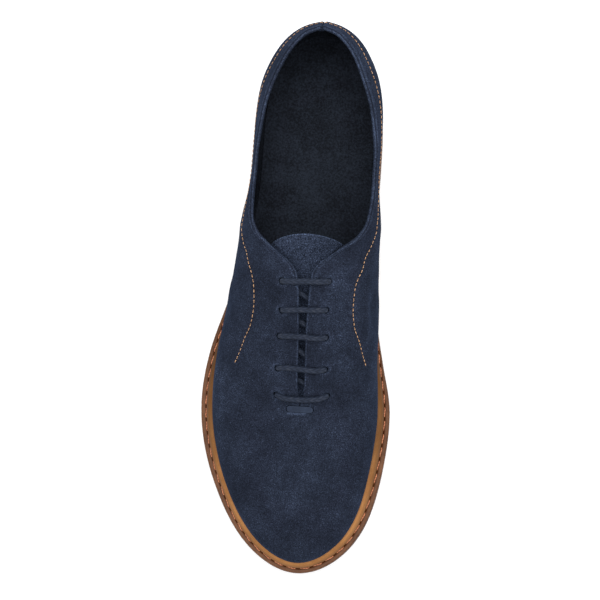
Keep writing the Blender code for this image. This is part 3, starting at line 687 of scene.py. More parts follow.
def wall(shares, rows, throat_open=True):
    """The upper's outer face on both halves, (2, stations, rows, 3), before any relief.

    Each section is a cubic Bezier curve of the row, 0 at the sole to 1 at the top edge: it
    leaves the base outwards by bulge and up by rise, and comes to the top edge from a place
    that shares the way back by reach, level with the crest or lower by fall."""
    foot = TOP["foot"]
    along, up = (fair_curve(shares, foot, TOP[name]) for name in ("along", "up"))
    dip = even_curve(shares, foot, TOP["dip"])
    slope = np.gradient(up, along) * (1 - step_up(shares, *CREST_ENDS))
    bulge, rise, reach, fall = (
        fair_curve(shares, SHAPE["foot"], SHAPE[name], level_ends=True)
        for name in ("bulge", "rise", "reach", "fall")
    )
    both = np.stack([shares, shares])
    base, normal = at_shares(OUTLINE_PLACES, both), at_shares(OUTLINE_NORMALS, both)
    level = sole_height("midsole_top", base[..., 0]) + GAP
    out = np.stack([even_curve(shares, foot, TOP[name]) for name in ("medial", "lateral")])
    out[1] *= -1
    if not throat_open:
        out = np.where(shares < FLAT_END[0], 0.0, out)
    top = np.stack([np.broadcast_to(along, out.shape), out], axis=-1)
    top_up = np.stack([up, up - dip])
    lower = base + normal * bulge[:, None]
    upper = top + (lower - top) * reach[:, None]
    upper_up = top_up + slope * (upper[..., 0] - top[..., 0]) - fall
    plans = ((base, level), (lower, level + rise), (upper, upper_up), (top, top_up))
    corners = [np.concatenate([plan, height[..., None]], axis=-1) for plan, height in plans]
    v = np.asarray(rows)[:, None]
    weights = ((1 - v) ** 3, 3 * v * (1 - v) ** 2, 3 * v * v * (1 - v), v**3)
    return sum(weight * corner[:, :, None] for weight, corner in zip(weights, corners))


def each_half(shares, rows):
    """The wall at each half's own shares: (2, n, rows, 3) from (2, n) shares."""
    return np.stack([wall(shares[side], rows)[side] for side in (0, 1)])


def read_where(reach, wanted, *grids):
    """Each grid read on every section where reach, which grows along the rows, comes to the
    wanted value: the places of the two rows beside it, mixed by the share between them."""
    after = (reach < wanted[..., None]).sum(axis=-1)
    after = np.clip(after, 1, reach.shape[-1] - 1)[..., None, None]

    def beside(grid):
        return [np.take_along_axis(grid, after - back, axis=2)[:, :, 0] for back in (1, 0)]

    before, past = beside(reach[..., None])
    share = (wanted[..., None] - before) / (past - before)
    return [first + (second - first) * share for first, second in map(beside, grids)]


def make_welt():
    """A closed band: for each station a profile from its outer foot over a rounded crown to
    the wall, carried round the shoe. The profile's places are shares between the foot on the
    rim and the highest place on the wall, each with its share of the band's height."""
    base = at_shares(OUTLINE_PLACES, rim_rungs)
    face = each_half(rim_rungs, np.linspace(0, 0.4, 60))
    height = even_curve(base[..., 0], WELT["along"], WELT["height"])
    normal = np.zeros((*height.shape, 3))
    normal[..., :2] = at_shares(OUTLINE_NORMALS, rim_rungs)
    (wall_top,) = read_where(face[..., 2] - face[:, :, :1, 2], height, face)
    wall_top = wall_top + normal * WELT_LIFT
    foot = rim_ring(rim_rungs, layer("midsole_top", 0.04), rim_share=WELT_SHARE, inset=0.05)
    profile = np.array([  # share from foot to wall, share of the height
        (0.00, 0.00), (0.01, 0.22), (0.05, 0.42), (0.12, 0.58), (0.24, 0.74), (0.40, 0.87),
        (0.58, 0.96), (0.76, 1.01), (0.90, 1.03), (1.00, 1.00),
    ])
    plan = foot[:, :, None] + (wall_top - foot)[:, :, None] * profile[:, :1]
    plan[..., 2] = foot[:, :, None, 2] + (wall_top - foot)[:, :, None, 2] * profile[:, 1]
    inner = np.stack([wall_top - normal * WELT_BACK[0], foot], axis=2)
    inner[:, :, 1, :2] = base - normal[..., :2] * WELT_BACK[1]
    loops = round_loop(np.concatenate([plan, inner], axis=2))
    faces = loop_faces(*loops.shape[:2], endless=True)
    across = np.tile(np.concatenate([profile[:, 0], (1.0, 0.0)]), len(loops))
    return loops, faces, {"across": across}


def welt_finish():
    """Glazed tan leather: soft clouds and drag lines. Read off `across`, 0 to 1: darker toward
    the seam, partly burnish and partly painted shade where the band curves down into it, and a
    pale line by the upper, painted highlight on its bead with pale rubbed fibres. Painted shade
    darkens it from the ball of the foot back, under the overhanging upper."""
    finish = Finish("welt_leather", Specular_IOR_Level=0.06, Coat_Roughness=0.25)
    place, across = finish.place(), finish.mark("across")
    clouds, pores = finish.noises(place, (45, 4, 0.6), (1600, 3, 0.6))
    lines = finish.lines(across * 3.0, clouds * 1.2, 3.4, 3, 0.65)
    tone = (clouds * 0.5 + lines * 0.3 + pores * 0.2).between(0.34, 0.68)
    colour = finish.mix(tone, dye(140, 93, 52), dye(186, 131, 80))
    forward = finish.node("SeparateXYZ", None, {0: place}, output=1)
    # Painted shade: darker from the ball of the foot back, where the overhanging upper shades the
    # band.
    back = forward.between(-0.111, -0.062) * 0.6 + forward.between(-0.058, -0.03) * 0.24
    colour = finish.mix(back, colour, dye(60, 37, 16))
    # Darker toward the seam: burnish, and painted shade where the band curves down into it.
    colour = finish.mix((1 - across.between(0.0, 0.95)) * 0.65, colour, dye(60, 36, 14))
    # A pale line by the upper: painted highlight on the band's bead, with pale rubbed fibres.
    colour = finish.mix(across.between(0.9, 1.0) * 0.5, colour, dye(170, 126, 88))
    rough = 0.42 + (pores - 0.5) * 0.25 + (lines - 0.5) * 0.15
    finish.surface(colour, rough, lines * 0.5 + pores * 0.5, 0.00008)
    finish.wire(0.01 + tone * 0.03, "Coat Weight")
    return finish


make_piece("welt_band", make_welt(), welt_finish(), "welt", 50)

# ---- Insole ---------------------------------------------------------------------------------
# A dark leather sock glued over the footbed, pressed down in the middle of the heel and under
# the ball, with its edge turned up against the lining.

INSOLE_INSET, INSOLE_THICKNESS = 2.8, 3.0
INSOLE_EDGE_ROW = 0.07  # how far up the wall its edge is turned


def make_insole():
    """A sheet over the footbed. Its flat underside is the base's outline drawn in by the inset;
    its top reaches out to the wall's lasted bulge. Rungs run across, and along each a dish,
    -0.9 (1 - w^2) + 1.3 w^8 of the share w from the middle."""
    shares = rungs(150)
    rim = rim_ring(shares, layer("midsole_top", GAP), rim_share=0.0, inset=INSOLE_INSET)
    lasted = each_half(shares, [INSOLE_EDGE_ROW])[:, :, 0, :2]
    edge = rim.copy()
    edge[..., :2] = lasted - at_shares(OUTLINE_NORMALS, shares) * (INSOLE_INSET - GAP)
    w = np.linspace(-1, 1, 25)
    share = ((w + 1) / 2)[:, None]
    top = edge[0][:, None] * (1 - share) + edge[1][:, None] * share
    width = np.linalg.norm(rim[0] - rim[1], axis=-1)[:, None]
    fade = np.clip(width / 30, 0, 1)
    top[..., 2] += INSOLE_THICKNESS + fade * (0.9 * w**2 - 0.9 + 1.3 * w**8)
    stations, across = top.shape[:2]
    under = np.stack([rim[0], rim[1]], axis=1)
    start = stations * across
    faces = grid_faces(stations, across) + grid_faces(stations, 2, start)
    i = np.arange(stations - 1)
    for column, low in ((0, 0), (across - 1, 1)):
        a, b = i * across + column, start + 2 * i + low
        faces += np.column_stack([a, a + across, b + 2, b]).tolist()
    return np.vstack([top.reshape(-1, 3), under.reshape(-1, 3)]), faces


def lining_finish(name, dark, light):
    """Dark lining leather, faintly napped and clouded by wear, with a rubbed top edge (`rim`)."""
    finish = Finish(name, Specular_IOR_Level=0.02)
    nap, clouds = finish.noises(finish.place(), (900, 3, 0.65), (55, 3, 0.6))
    colour = finish.mix((nap * 0.65 + clouds * 0.35).between(0.36, 0.66), dark, light)
    colour = finish.mix(finish.mark("rim"), colour, dye(62, 73, 95))
    finish.surface(colour, 0.82 + (nap - 0.5) * 0.3, nap, 0.00015)
    return finish


sock = lining_finish("sock_lining", dye(19, 21, 26), dye(36, 41, 50))
make_piece("insole_sock", make_insole(), sock, "insole", 40)

# ---- Upper ----------------------------------------------------------------------------------
# One piece of navy suede lasted over the foot and closed up the back of the heel. It is slit
# down the instep to a pressed slot, punched with ten lace holes, and turned in along its top
# edge over a soft roll. The nap is brushed this way and that, so it takes the light in clouds.

WALL_DEPTH, SUEDE_DEPTH = 2.2, 1.3  # suede and lining together, and the suede alone
LACE_HOLE_RADIUS = 1.8
# Each lacing bar: its lateral and medial holes, and how far the cord hangs towards the toe
# beside the lateral hole, in its middle and beside the medial hole.
BARS = named_columns(
    "lateral_along lateral_out medial_along medial_out sag_lateral sag sag_medial",
    (143.5, -12.3, 142.4, 12.2, 0.3, 0.3, 0.3),
    (158.5, -11.8, 157.1, 11.3, 0.0, -0.1, 0.2),
    (172.0, -12.6, 171.4, 11.7, -0.1, 0.1, 0.7),
    (189.0, -13.1, 188.3, 11.9, -0.3, 0.2, 0.9),
    (203.2, -13.2, 202.3, 13.5, 2.0, 2.4, 2.0),
)
SAG_SHARES = np.array([0.0, 0.2, 0.5, 0.8, 1.0])
THROAT_BAR_AT, THROAT_BAR_SIZE = (210.4, -0.5), (14.2, 3.5)
# Shares of the half outline over which the slit opens, the collar begins, its wall gets
# steep, and the back seam begins.
SLIT_START, COLLAR_START = (SLIT_END, SLIT_END + 0.02), (0.555, 0.60)
STEEP_START, SEAM_START = (0.61, 0.66), (0.95, 0.98)
FAR_BELOW = 8.0  # past this the top edge has no say in the suede's colour
# What stands up from the suede as bells: height, how far off the middle, and width.
BELLS = {
    "collar": ((0.4, 1.8, 1.3), (-0.3, 5.2, 1.7)),
    "slit": ((0.14, 1.0, 0.9), (-0.08, 3.2, 1.2)),
    "bar": ((0.2, 2.9, 1.2), (-0.35, 0.0, 1.5)),
    "slot": ((0.35, 3.4, 1.0), (-0.5, 0.0, 2.1)),
    "ankle": ((0.75, 0.0, 5.5), (-0.55, 11.0, 6.5), (0.35, -17.0, 7.0)),
    "seam": ((0.25, 1.7, 1.0), (-0.6, 0.0, 0.5)),
}


def bell(distance, width):
    """A soft bump: e to the minus square of the distance over the width."""
    return np.exp(-((distance / width) ** 2))


def band(value, low, rise, fall, high):
    """1 from rise to fall and 0 outside low and high, with a soft step at both ends."""
    return step_up(value, low, rise) * (1 - step_up(value, fall, high))


def bells(name, distance):
    """The sum of the named bells at distances from their middle."""
    return sum(height * bell(distance - at, width) for height, at, width in BELLS[name])


def wall_stations(step, extra=()):
    """Shares for the wall's sections, at most a step apart along both base and top edge."""
    places = np.column_stack([TOP["along"], TOP["medial"], TOP["up"]])
    half_length = walked_along(OUTLINE_PLACES[0])[-1]
    lengths = np.maximum(np.diff(walked_along(places)), half_length * np.diff(TOP["foot"]))
    counts = np.maximum(np.ceil(lengths / step).astype(int), 1)
    spans = zip(TOP["foot"], TOP["foot"][1:], counts)
    runs = [np.linspace(start, end, count, endpoint=False) for start, end, count in spans]
    return np.unique(np.concatenate([*runs, extra, [1.0]]))


def wall_normals(points, joined):
    """Outward normals of both halves: the cross product of the grid's two directions. Places
    where the halves are joined get the mean of their two sides."""
    up_wall, round_shoe = np.gradient(points, axis=2), np.gradient(points, axis=1)
    outward = np.array([1.0, -1.0])[:, None, None, None]
    normals = unit(np.cross(round_shoe, up_wall) * outward)
    normals[:, 0] = normals[:, 1]
    return np.where(joined[..., None], unit(normals.sum(axis=0)), normals)


BAR_SHARES = np.linspace(0, 1, 41)


def bar_lines():
    """Points (5, n, 2) along the bars: at each share the straight place between the holes plus
    the sag there."""
    lateral = np.column_stack([BARS["lateral_along"], BARS["lateral_out"]])
    medial = np.column_stack([BARS["medial_along"], BARS["medial_out"]])
    line = lateral[:, None] + (medial - lateral)[:, None] * BAR_SHARES[:, None]
    none = np.zeros(len(line))
    sags = np.column_stack([none, BARS["sag_lateral"], BARS["sag"], BARS["sag_medial"], none])
    line[..., 0] += np.stack([even_curve(BAR_SHARES, SAG_SHARES, sag) for sag in sags])
    return line


BAR_LINES = bar_lines()
HOLES = np.concatenate([BAR_LINES[:, 0], BAR_LINES[:, -1]])


def suede_relief(points, shares, drop, height):
    """How far the suede stands off the plain wall, at every grid point.

    A sum of soft bells and waves: the roll along the collar and the valley under it; a lip
    round each hole with its star of puckers; the dent that each bar presses; the pressed slot
    and the crease before it; a fold before the ankle on both sides and one along the waist;
    the lasting folds over the sole; the back seam; and the slow swell of a hand-lasted skin."""
    along, out, up = points[..., 0], points[..., 1], points[..., 2]
    share = np.broadcast_to(shares[None, :, None], along.shape)
    collar = step_up(share, *COLLAR_START)
    slit = step_up(share, *SLIT_START) * (1 - collar)
    relief = collar * bells("collar", drop) + slit * bells("slit", drop)

    for number, (hole_along, hole_out) in enumerate(HOLES):
        ahead, aside = along - hole_along, out - hole_out
        away, angle = np.hypot(ahead, aside), np.arctan2(aside, ahead)
        star = 1 + 0.5 * np.sin(5 * angle + 1.7 * number) + 0.4 * np.sin(8 * angle - 3.1 * number)
        relief += 0.36 * bell(away - 3.2, 0.9) * star - 0.2 * bell(away, 2.0)
        relief += 0.12 * bell(away - 6.0, 1.8) * np.sin(4 * angle + 2.3 * number)

    for line in BAR_LINES:
        beside = np.abs(along - np.interp(out, line[:, 1], line[:, 0]))
        across = np.interp(out, line[:, 1], BAR_SHARES, left=-1, right=2)
        relief += band(across, 0.0, 0.1, 0.9, 1.0) * bells("bar", beside)

    from_middle = np.abs(out - THROAT_BAR_AT[1])
    past_end = np.maximum(from_middle - THROAT_BAR_SIZE[0] / 2 + THROAT_BAR_SIZE[1] / 2, 0)
    relief += bells("slot", np.hypot(along - THROAT_BAR_AT[0], past_end))
    relief -= 0.35 * band(along, 202, 205, 209, 211) * bell(from_middle, 0.6)

    ankle_line = along - (146 - 0.55 * (height - 30))
    relief += band(height, 14, 30, 50, 66) * bells("ankle", ankle_line)
    waist = 0.8 * bell(out - 32.0 - 0.04 * (along - 150), 1.2) - 0.6 * bell(out - 35.0, 1.4)
    relief += waist * bell(along - 152, 15)

    walk = share * 310
    tucks = np.sin(walk / 2.3) * np.sin(walk / 7.1 + 1) + 0.6 * np.sin(walk / 3.7 + 2)
    relief += 0.1 * bell(height, 7.0) * tucks * (step_up(share, 0.35, 0.5) + 0.3)
    relief += step_up(share, *SEAM_START) * bells("seam", np.abs(out))

    swell = (
        np.sin(along / 11.3 + out / 17 + 0.7) * np.sin(out / 9.1 - along / 37)
        + np.sin(along / 19 - out / 7.9 + 2.1) * np.sin(up / 8.7 + 1.3)
        + 0.6 * np.sin((along + out) / 5.7) * np.sin((along - 1.3 * out) / 8.3 + 0.5)
    )
    return relief + 0.13 * swell * step_up(height, 4, 14)


def suede_face(shares, rows):
    """The upper's dressed outer face: points, normals, and distances below the top edge."""
    plain = wall(shares, rows)
    climbed = np.linalg.norm(np.diff(plain, axis=2), axis=-1).cumsum(axis=2)
    height = np.concatenate([np.zeros_like(climbed[..., :1]), climbed], axis=2)
    drop = height[..., -1:] - height
    relief = suede_relief(plain, shares, drop, height)
    joined = np.abs(plain[..., 1]) < 1e-6
    joined[:, [0, -1]] = True
    relief = np.where(joined, relief.mean(axis=0), relief)
    plain = np.where(joined[..., None], plain.mean(axis=0), plain)
    points = plain + wall_normals(plain, joined) * relief[..., None]
    return points, wall_normals(points, joined), drop


def skin(points, normals, shares, depths, inner_step, rim=5):
    """A closed skin between two depths under the halves of a face that is open at its top and
    its foot, as points, faces and, for each point, the half, station and row it came from and
    how far it is turned over, 0 on the outer face to 1 on the inner.

    The two faces are the places moved in along their normals; the inner keeps every so many
    rows. Half turns close top and foot: the middle of the two edges, plus half the thickness
    times the cosine towards the outer edge, plus a reach times the sine away from the skin,
    square to its edge."""
    stations, rows = points.shape[1:3]
    depths = [np.broadcast_to(depth, (2, stations, rows))[..., None] for depth in depths]
    inner_rows = np.unique(np.concatenate([np.arange(0, rows, inner_step), [rows - 1]]))
    outer = points - normals * depths[0]
    inner = points - normals * depths[1]
    turn = np.linspace(0, math.pi, rim + 2)[:, None]
    open_from = int(np.argmax(shares > SLIT_END - 1e-9))
    parts, faces, source, turned = [], [], [], []

    def add(grid, side, first, row_numbers, over):
        start = sum(len(part) for part in parts)
        faces.extend(grid_faces(*grid.shape[:2], start))
        parts.append(grid.reshape(-1, 3))
        station = np.arange(first, first + len(grid))
        index = np.stack(np.broadcast_arrays(side, station[:, None], row_numbers), axis=-1)
        source.append(index.reshape(-1, 3))
        turned.append(np.broadcast_to(over, grid.shape[:2]).ravel())

    for side in (0, 1):
        add(outer[side], side, 0, np.arange(rows), 0.0)
        add(inner[side][:, inner_rows], side, 0, inner_rows, 1.0)
        # The roll along the slit takes at most a part of the room that it has to the middle.
        half_depth = (depths[1] - depths[0])[side, :, -1, 0] / 2
        room = np.where(shares < COLLAR_START[1], 0.8 * np.abs(outer[side, :, -1, 1]), half_depth)
        room[open_from] = 0.0
        top = (rows - 1, rows - 2, np.minimum(room, half_depth), open_from)
        foot = (0, 1, np.full(stations, 0.2), 0)
        for row, neighbour, reach, first in (top, foot):
            a, b = outer[side, :, row], inner[side, :, row]
            away = points[side, :, row] - points[side, :, neighbour]
            edge = np.gradient(points[side, :, row], axis=0)
            edge[[0, -1]] = (0.0, 1.0, 0.0)
            edge = unit(edge)
            away = unit(away - edge * (away * edge).sum(axis=-1, keepdims=True))
            strip = (a + b)[:, None] / 2 + (a - b)[:, None] / 2 * np.cos(turn)
            strip = strip + (away * reach[:, None])[:, None] * np.sin(turn)
            strip[:, 0], strip[:, -1] = a, b
            add(strip[first:], side, first, np.full(rim + 2, row), np.linspace(0, 1, rim + 2))
    return np.vstack(parts), faces, (*np.vstack(source).T, np.concatenate(turned))


def instep_grid():
    """Points of the plain upper with its throat closed, over the lacing."""
    grid = wall(wall_stations(1.2), np.linspace(0.5, 1, 60), throat_open=False).reshape(-1, 3)
    return grid[(grid[:, 0] > 125) & (grid[:, 0] < 222) & (np.abs(grid[:, 1]) < 26)]


INSTEP = instep_grid()
FIT_WIDTH = 1.6  # of the bell that weighs its points


def on_instep(places):
    """The instep over the given (along, out) places, with its normals: a plane fitted to its
    points around each place, weighted by a bell of their distance, and read at it."""
    offset = INSTEP[None, :, :2] - places[:, None]
    weight = bell(np.linalg.norm(offset, axis=-1), FIT_WIDTH)
    terms = np.concatenate([np.ones_like(weight)[..., None], offset], axis=-1)
    matrix = np.einsum("nm,nmi,nmj->nij", weight, terms, terms)
    right = np.einsum("nm,nmi,m->ni", weight, terms, INSTEP[:, 2])
    level, slope_along, slope_out = np.linalg.solve(matrix, right[..., None])[..., 0].T
    normals = unit(np.column_stack([-slope_along, -slope_out, np.ones(len(places))]))
    return np.column_stack([places, level]), normals


def stadium(length, width, around):
    """A slot's outline, (around, 2): two half circles at the ends of a straight run."""
    turn, straight = turns(around, 0.5), (length - width) / 2
    out = width / 2 * np.cos(turn) + straight * np.sign(np.cos(turn))
    return np.column_stack([width / 2 * np.sin(turn), out])


def tube_faces(count, around):
    """Faces of stacked loops with a flat lid on both ends."""
    last = (count - 1) * around
    return loop_faces(count, around) + [list(range(around)), list(range(last, last + around))]


def hole_cutters():
    """Ten round pins square to the leather, and the slot's upright stadium, each a stack of
    two rings."""
    around = 36
    middle, axis = on_instep(HOLES)
    across, turn = unit(np.cross(axis, (1.0, 0.0, 0.0))), turns(around)[:, None]
    spoke = across[:, None] * np.cos(turn) + np.cross(axis, across)[:, None] * np.sin(turn)
    wobble = 1 + 0.03 * np.sin(3 * turn + 1) + 0.02 * np.sin(7 * turn)
    spoke = spoke * (LACE_HOLE_RADIUS * wobble)
    pins = [(middle + axis * lift)[:, None] + spoke for lift in (-6, 4)]
    slot_middle, _ = on_instep(np.array([THROAT_BAR_AT]))
    slot = stadium(THROAT_BAR_SIZE[0] + 0.7, THROAT_BAR_SIZE[1] + 0.15, around)
    slot = slot_middle + np.column_stack([slot, np.zeros(around)])
    prism = np.concatenate([slot + (0, 0, lift) for lift in (-9, 7)])
    cutters = np.concatenate([np.concatenate(pins, axis=1), prism[None]])
    faces = [
        [corner + number * 2 * around for corner in face]
        for number in range(len(cutters)) for face in tube_faces(2, around)
    ]
    return cutters, faces


def punch(piece):
    """Cuts the lace holes and the slot through a piece for good."""
    tool = put("punch", closed_mesh("punch", *hole_cutters()))
    cut = piece.modifiers.new("punch", "BOOLEAN")
    cut.operation, cut.solver, cut.object = "DIFFERENCE", "MANIFOLD", tool
    punched = piece.evaluated_get(bpy.context.evaluated_depsgraph_get())
    piece.data = bpy.data.meshes.new_from_object(punched)
    piece.modifiers.clear()
    bpy.data.objects.remove(tool)
    shade(piece.data, 50)


def suede_finish(name, dark, body, light, nap_size=1.0):
    """Brushed suede. Two sets of short fibres, one lying each way, are picked from by a slow
    noise; their tips catch the light as dashes over the darker roots. Slow clouds and the lips
    of the holes (`lip`, which also holds painted shade in the crease before the slot) shift it,
    and so do lines along the turned edge, read off `below`: a worn one on it, painted shade in
    the groove under it, and past the facings (`rolls`) a painted highlight on the roll."""
    finish = Finish(name, Specular_IOR_Level=0.0, Sheen_Weight=0.07, Sheen_Roughness=0.4)
    finish.shader.inputs["Sheen Tint"].default_value = dye(120, 145, 190)
    place = finish.place()
    warp = finish.noise(place, 260 / nap_size, 2, 0.5)
    one_way = finish.stretched(place, (1, 2.2, 0.6), 0.7)
    one_way = finish.noise(one_way, 1300 / nap_size, 2, 0.55)
    other_way = finish.stretched(place, (2.0, 1, 0.6), 0.5)
    other_way = finish.noise(other_way, 1400 / nap_size, 2, 0.55)
    lie = warp.between(0.42, 0.58)
    nap = one_way * (1 - lie) + other_way * lie
    grit = finish.noise(finish.stretched(place, (1, 1, 0.5), 0), 2500 / nap_size, 1, 0.5)
    kinds = (420 / nap_size, 3, 0.6), (105, 3, 0.55), (34, 2, 0.5)
    tufts, patches, clouds = finish.noises(place, *kinds)
    below, lip = finish.mark("below"), finish.mark("lip")
    slow = (tufts - 0.5) * 0.08 + (patches - 0.5) * 0.18 + (clouds - 0.5) * 0.22
    # The worn line is the pale raw edge; the band under it is painted shade in the groove.
    worn, groove_shade = below.band(-0.8, -0.2, 0.15, 0.45), below.band(0.3, 0.55, 0.8, 1.3)
    # Painted highlight on the collar's roll, where its ridge faces the light.
    roll_highlight = below.band(0.9, 1.6, 2.2, 4.2) * finish.mark("rolls")
    slow = slow + worn * 0.1 - groove_shade * 0.045 + roll_highlight * 0.07 + lip * 0.07
    shade = nap * 0.45 + grit * 0.6 - 0.025 + slow
    colour = finish.mix(shade.between(0.36, 0.64), dark, body)
    colour = finish.mix(shade.between(0.58, 0.76), colour, light)
    height = nap * 0.5 + grit * 0.35 + tufts * 0.15
    finish.surface(colour, 0.9 + (grit - 0.5) * 0.2, height, 0.0003 * nap_size)
    return finish


def suede_inside(shares, drop):
    """Depth of the suede's inner face: its own thickness, and more of the wall's where it is
    turned in along the open top edge, all of it round the collar."""
    open_top = step_up(shares, *SLIT_START) + step_up(shares, 0.565, 0.585)
    return SUEDE_DEPTH + 0.45 * (1 - step_up(drop, 1.5, 3.5)) * open_top[:, None]


def closeness(index, shares, points, drop):
    """Marks for the finish at the points of a skin. `below` is the distance down from the open
    top edge as it is seen from above, from the outer side of its rim on the flat facings and
    from the inner side round the steep collar. `rolls` is 0 on the facings and 1 past them, where
    the painted highlight of the roll shows. `lip` is 1 round each hole and falls to 0 a few
    millimetres off, and is less than 0 along the back seam and, as painted shade, in the crease
    before the slot."""
    side, station, row, turned = index
    share, place, down = shares[station], points[side, station, row], drop[side, station, row]
    out = place[:, 1] - THROAT_BAR_AT[1]
    rolls = step_up(share, *FLAT_END)
    below = down + 1.1 * step_up(share, *STEEP_START) - 2.7 * turned
    below = np.minimum(below + 5.0 * (1 - rolls) * step_up(down, 0.45, 0.9), FAR_BELOW)
    open_edge = step_up(share, SLIT_END + 0.01, SLIT_END + 0.03)
    below = FAR_BELOW - (FAR_BELOW - below) * open_edge
    away = np.linalg.norm(place[:, None, :2] - HOLES, axis=-1).min(axis=1)
    slot = np.hypot(place[:, 0] - THROAT_BAR_AT[0], np.maximum(np.abs(out) - 5.3, 0))
    slot_lip = 2.2 * bell(np.maximum(slot - 2.0, 0), 0.45)
    lip = np.maximum(bell(np.maximum(away - 2.4, 0), 1.2), slot_lip)
    # Painted shade in the crease before the slot.
    crease_shade = band(place[:, 0], 203, 205, 208.2, 208.8) * bell(out, 0.32) * (turned < 0.5)
    seam = 0.5 * bell(np.abs(place[:, 1]) - 1.6, 0.9) - 2.5 * bell(place[:, 1], 0.4)
    lip = lip - 4.0 * crease_shade + seam * step_up(share, 0.96, 0.98)
    return {"below": below, "rolls": rolls, "lip": lip}


shares = wall_stations(1.35, (0.9967, 0.998, 0.999))
to_edge = 1 - np.linspace(0, 1, 21)[1:]
rows = np.concatenate([np.linspace(0, 0.93, 84), 1 - 0.07 * to_edge**1.2])
points, normals, drop = suede_face(shares, rows)
skin_points, faces, index = skin(points, normals, shares, (0.0, suede_inside(shares, drop)), 3)
marks = closeness(index, shares, points, drop)
suede = suede_finish("navy_suede", dye(21, 24, 32), dye(39, 45, 59), dye(67, 78, 100))
punch(make_piece("suede_upper", (skin_points, faces, marks), suede, "upper", 50))

# ---- Lining ---------------------------------------------------------------------------------
# Thin dark leather glued inside the suede, its top edge pared thin under the turned edge.

LINING_EDGE, LINING_FULL = 0.05, 0.40  # its least thickness at the pared edge and below it
GLUE = 0.06

lining_shares = wall_stations(2.8)
lining_rows = np.concatenate([np.linspace(0, 0.93, 34), np.linspace(0.93, 1, 7)[1:]])
points, normals, drop = suede_face(lining_shares, lining_rows)
glued = suede_inside(lining_shares, drop) + GLUE
thickness = LINING_EDGE + (LINING_FULL - LINING_EDGE) * step_up(drop, 0.3, 2.0)
depths = (glued, np.maximum(glued + thickness, WALL_DEPTH))
skin_points, faces, (side, station, row, _) = skin(points, normals, lining_shares, depths, 1, 3)
open_edge = step_up(lining_shares[station], 0.56, 0.575)
marks = {"rim": bell(drop[side, station, row], 0.4) * open_edge}
lining = lining_finish("wall_lining", dye(17, 19, 23), dye(33, 37, 45))
punch(make_piece("lining", (skin_points, faces, marks), lining, sharp=50))

# ---- Quarter stitches -----------------------------------------------------------------------
# A row of fine light stitches on each side, from behind the lacing round to the heel under the
# collar. Each pair of stitches meets over a near-black patch, painted shadow standing for its
# needle hole.

QUARTER_STITCH = {
    "pitch": 2.72, "length": 2.1, "radius": 0.2, "crown": 0.12, "rise": 0.08,
    "rings": 7, "around": 6,
}
# The near-black patch at each needle hole: painted shadow.
NEEDLE_HOLE_SHADOW = {
    **QUARTER_STITCH, "length": 1.3, "radius": 0.33, "crown": -0.05, "rise": -0.2, "start": 0.5,
}
# How far the row runs below the top edge, by the share of the base under it.
QUARTER_ROW = named_columns(
    "foot drop",
    (0.393, 38.1), (0.414, 34.7), (0.435, 32.0), (0.459, 28.2), (0.487, 26.9), (0.522, 28.4),
    (0.538, 30.7), (0.564, 33.8), (0.587, 32.9), (0.609, 27.8), (0.626, 21.0), (0.650, 14.9),
    (0.667, 13.8), (0.72, 13.6), (0.80, 13.6), (1.00, 14.0),
)


def quarter_rows():
    """The row on both halves, (2, n, 3), and the suede's normals there: at each station the
    dressed face is read along its section at the row's distance below the top edge. The two
    stations before its start are dropped, since a face's first station joins the halves."""
    row_shares = np.linspace(QUARTER_ROW["foot"][0] - 0.004, 1, 322)
    points, normals, drop = suede_face(row_shares, np.linspace(0, 1, 200))
    wanted = even_curve(row_shares, QUARTER_ROW["foot"], QUARTER_ROW["drop"])
    wanted = np.stack([wanted, wanted])
    return [found[:, 2:] for found in read_where(-drop, -wanted, points, normals)]


quarter_thread = thread_finish("quarter_thread", dye(112, 80, 56), dye(206, 160, 116))
needle_hole_shadows = hole_shadow_finish("needle_hole_shadows", dye(10, 9, 10))
row_places, row_normals = quarter_rows()
for side, side_name in enumerate(("medial", "lateral")):
    path, lifts = row_places[side], row_normals[side]
    aside = np.cross(np.gradient(path, axis=0), lifts)
    row = stitches(path, lifts, aside, **QUARTER_STITCH)
    make_piece("quarter_stitches_" + side_name, row, quarter_thread)
    # Near-black patches between the stitches: painted shadow in the needle holes.
    shadow_patches = stitches(path, lifts, aside, **NEEDLE_HOLE_SHADOW)[:2]
    make_piece("needle_hole_shadows_" + side_name, shadow_patches, needle_hole_shadows)

# ---- Tongue ---------------------------------------------------------------------------------
# One layer of coarser suede under the lacing, its top edge a clean arc that lifts a little.

TONGUE_TOP, TONGUE_TOP_RADIUS, TONGUE_END = 118.2, 46.0, 224.0
TONGUE_HALVES = (23.0, 15.0)  # half widths at its top and its end
TONGUE_SINK = named_columns("along depth", (100, 7.8), (194, 7.8), (218, 3.2), (230, 3.2))
TONGUE_RISE, TONGUE_CORNER, TONGUE_BEND_RADIUS = 0.30, 5.0, 17.0
TONGUE_DEPTH = 2.2


def crest_height(along):
    """Height of the upper's crest from the forefoot to the throat."""
    on_crest = TOP["foot"] <= FLAT_END[0]
    return fair_curve(along, TOP["along"][on_crest][::-1], TOP["up"][on_crest][::-1])


def toward_ends(count):
    """Shares from -1 to 1, closer together at both ends: sign(s) (1 - (1 - |s|)^1.7)."""
    s = np.linspace(-1, 1, count)
    return np.sign(s) * (1 - (1 - np.abs(s)) ** 1.7)


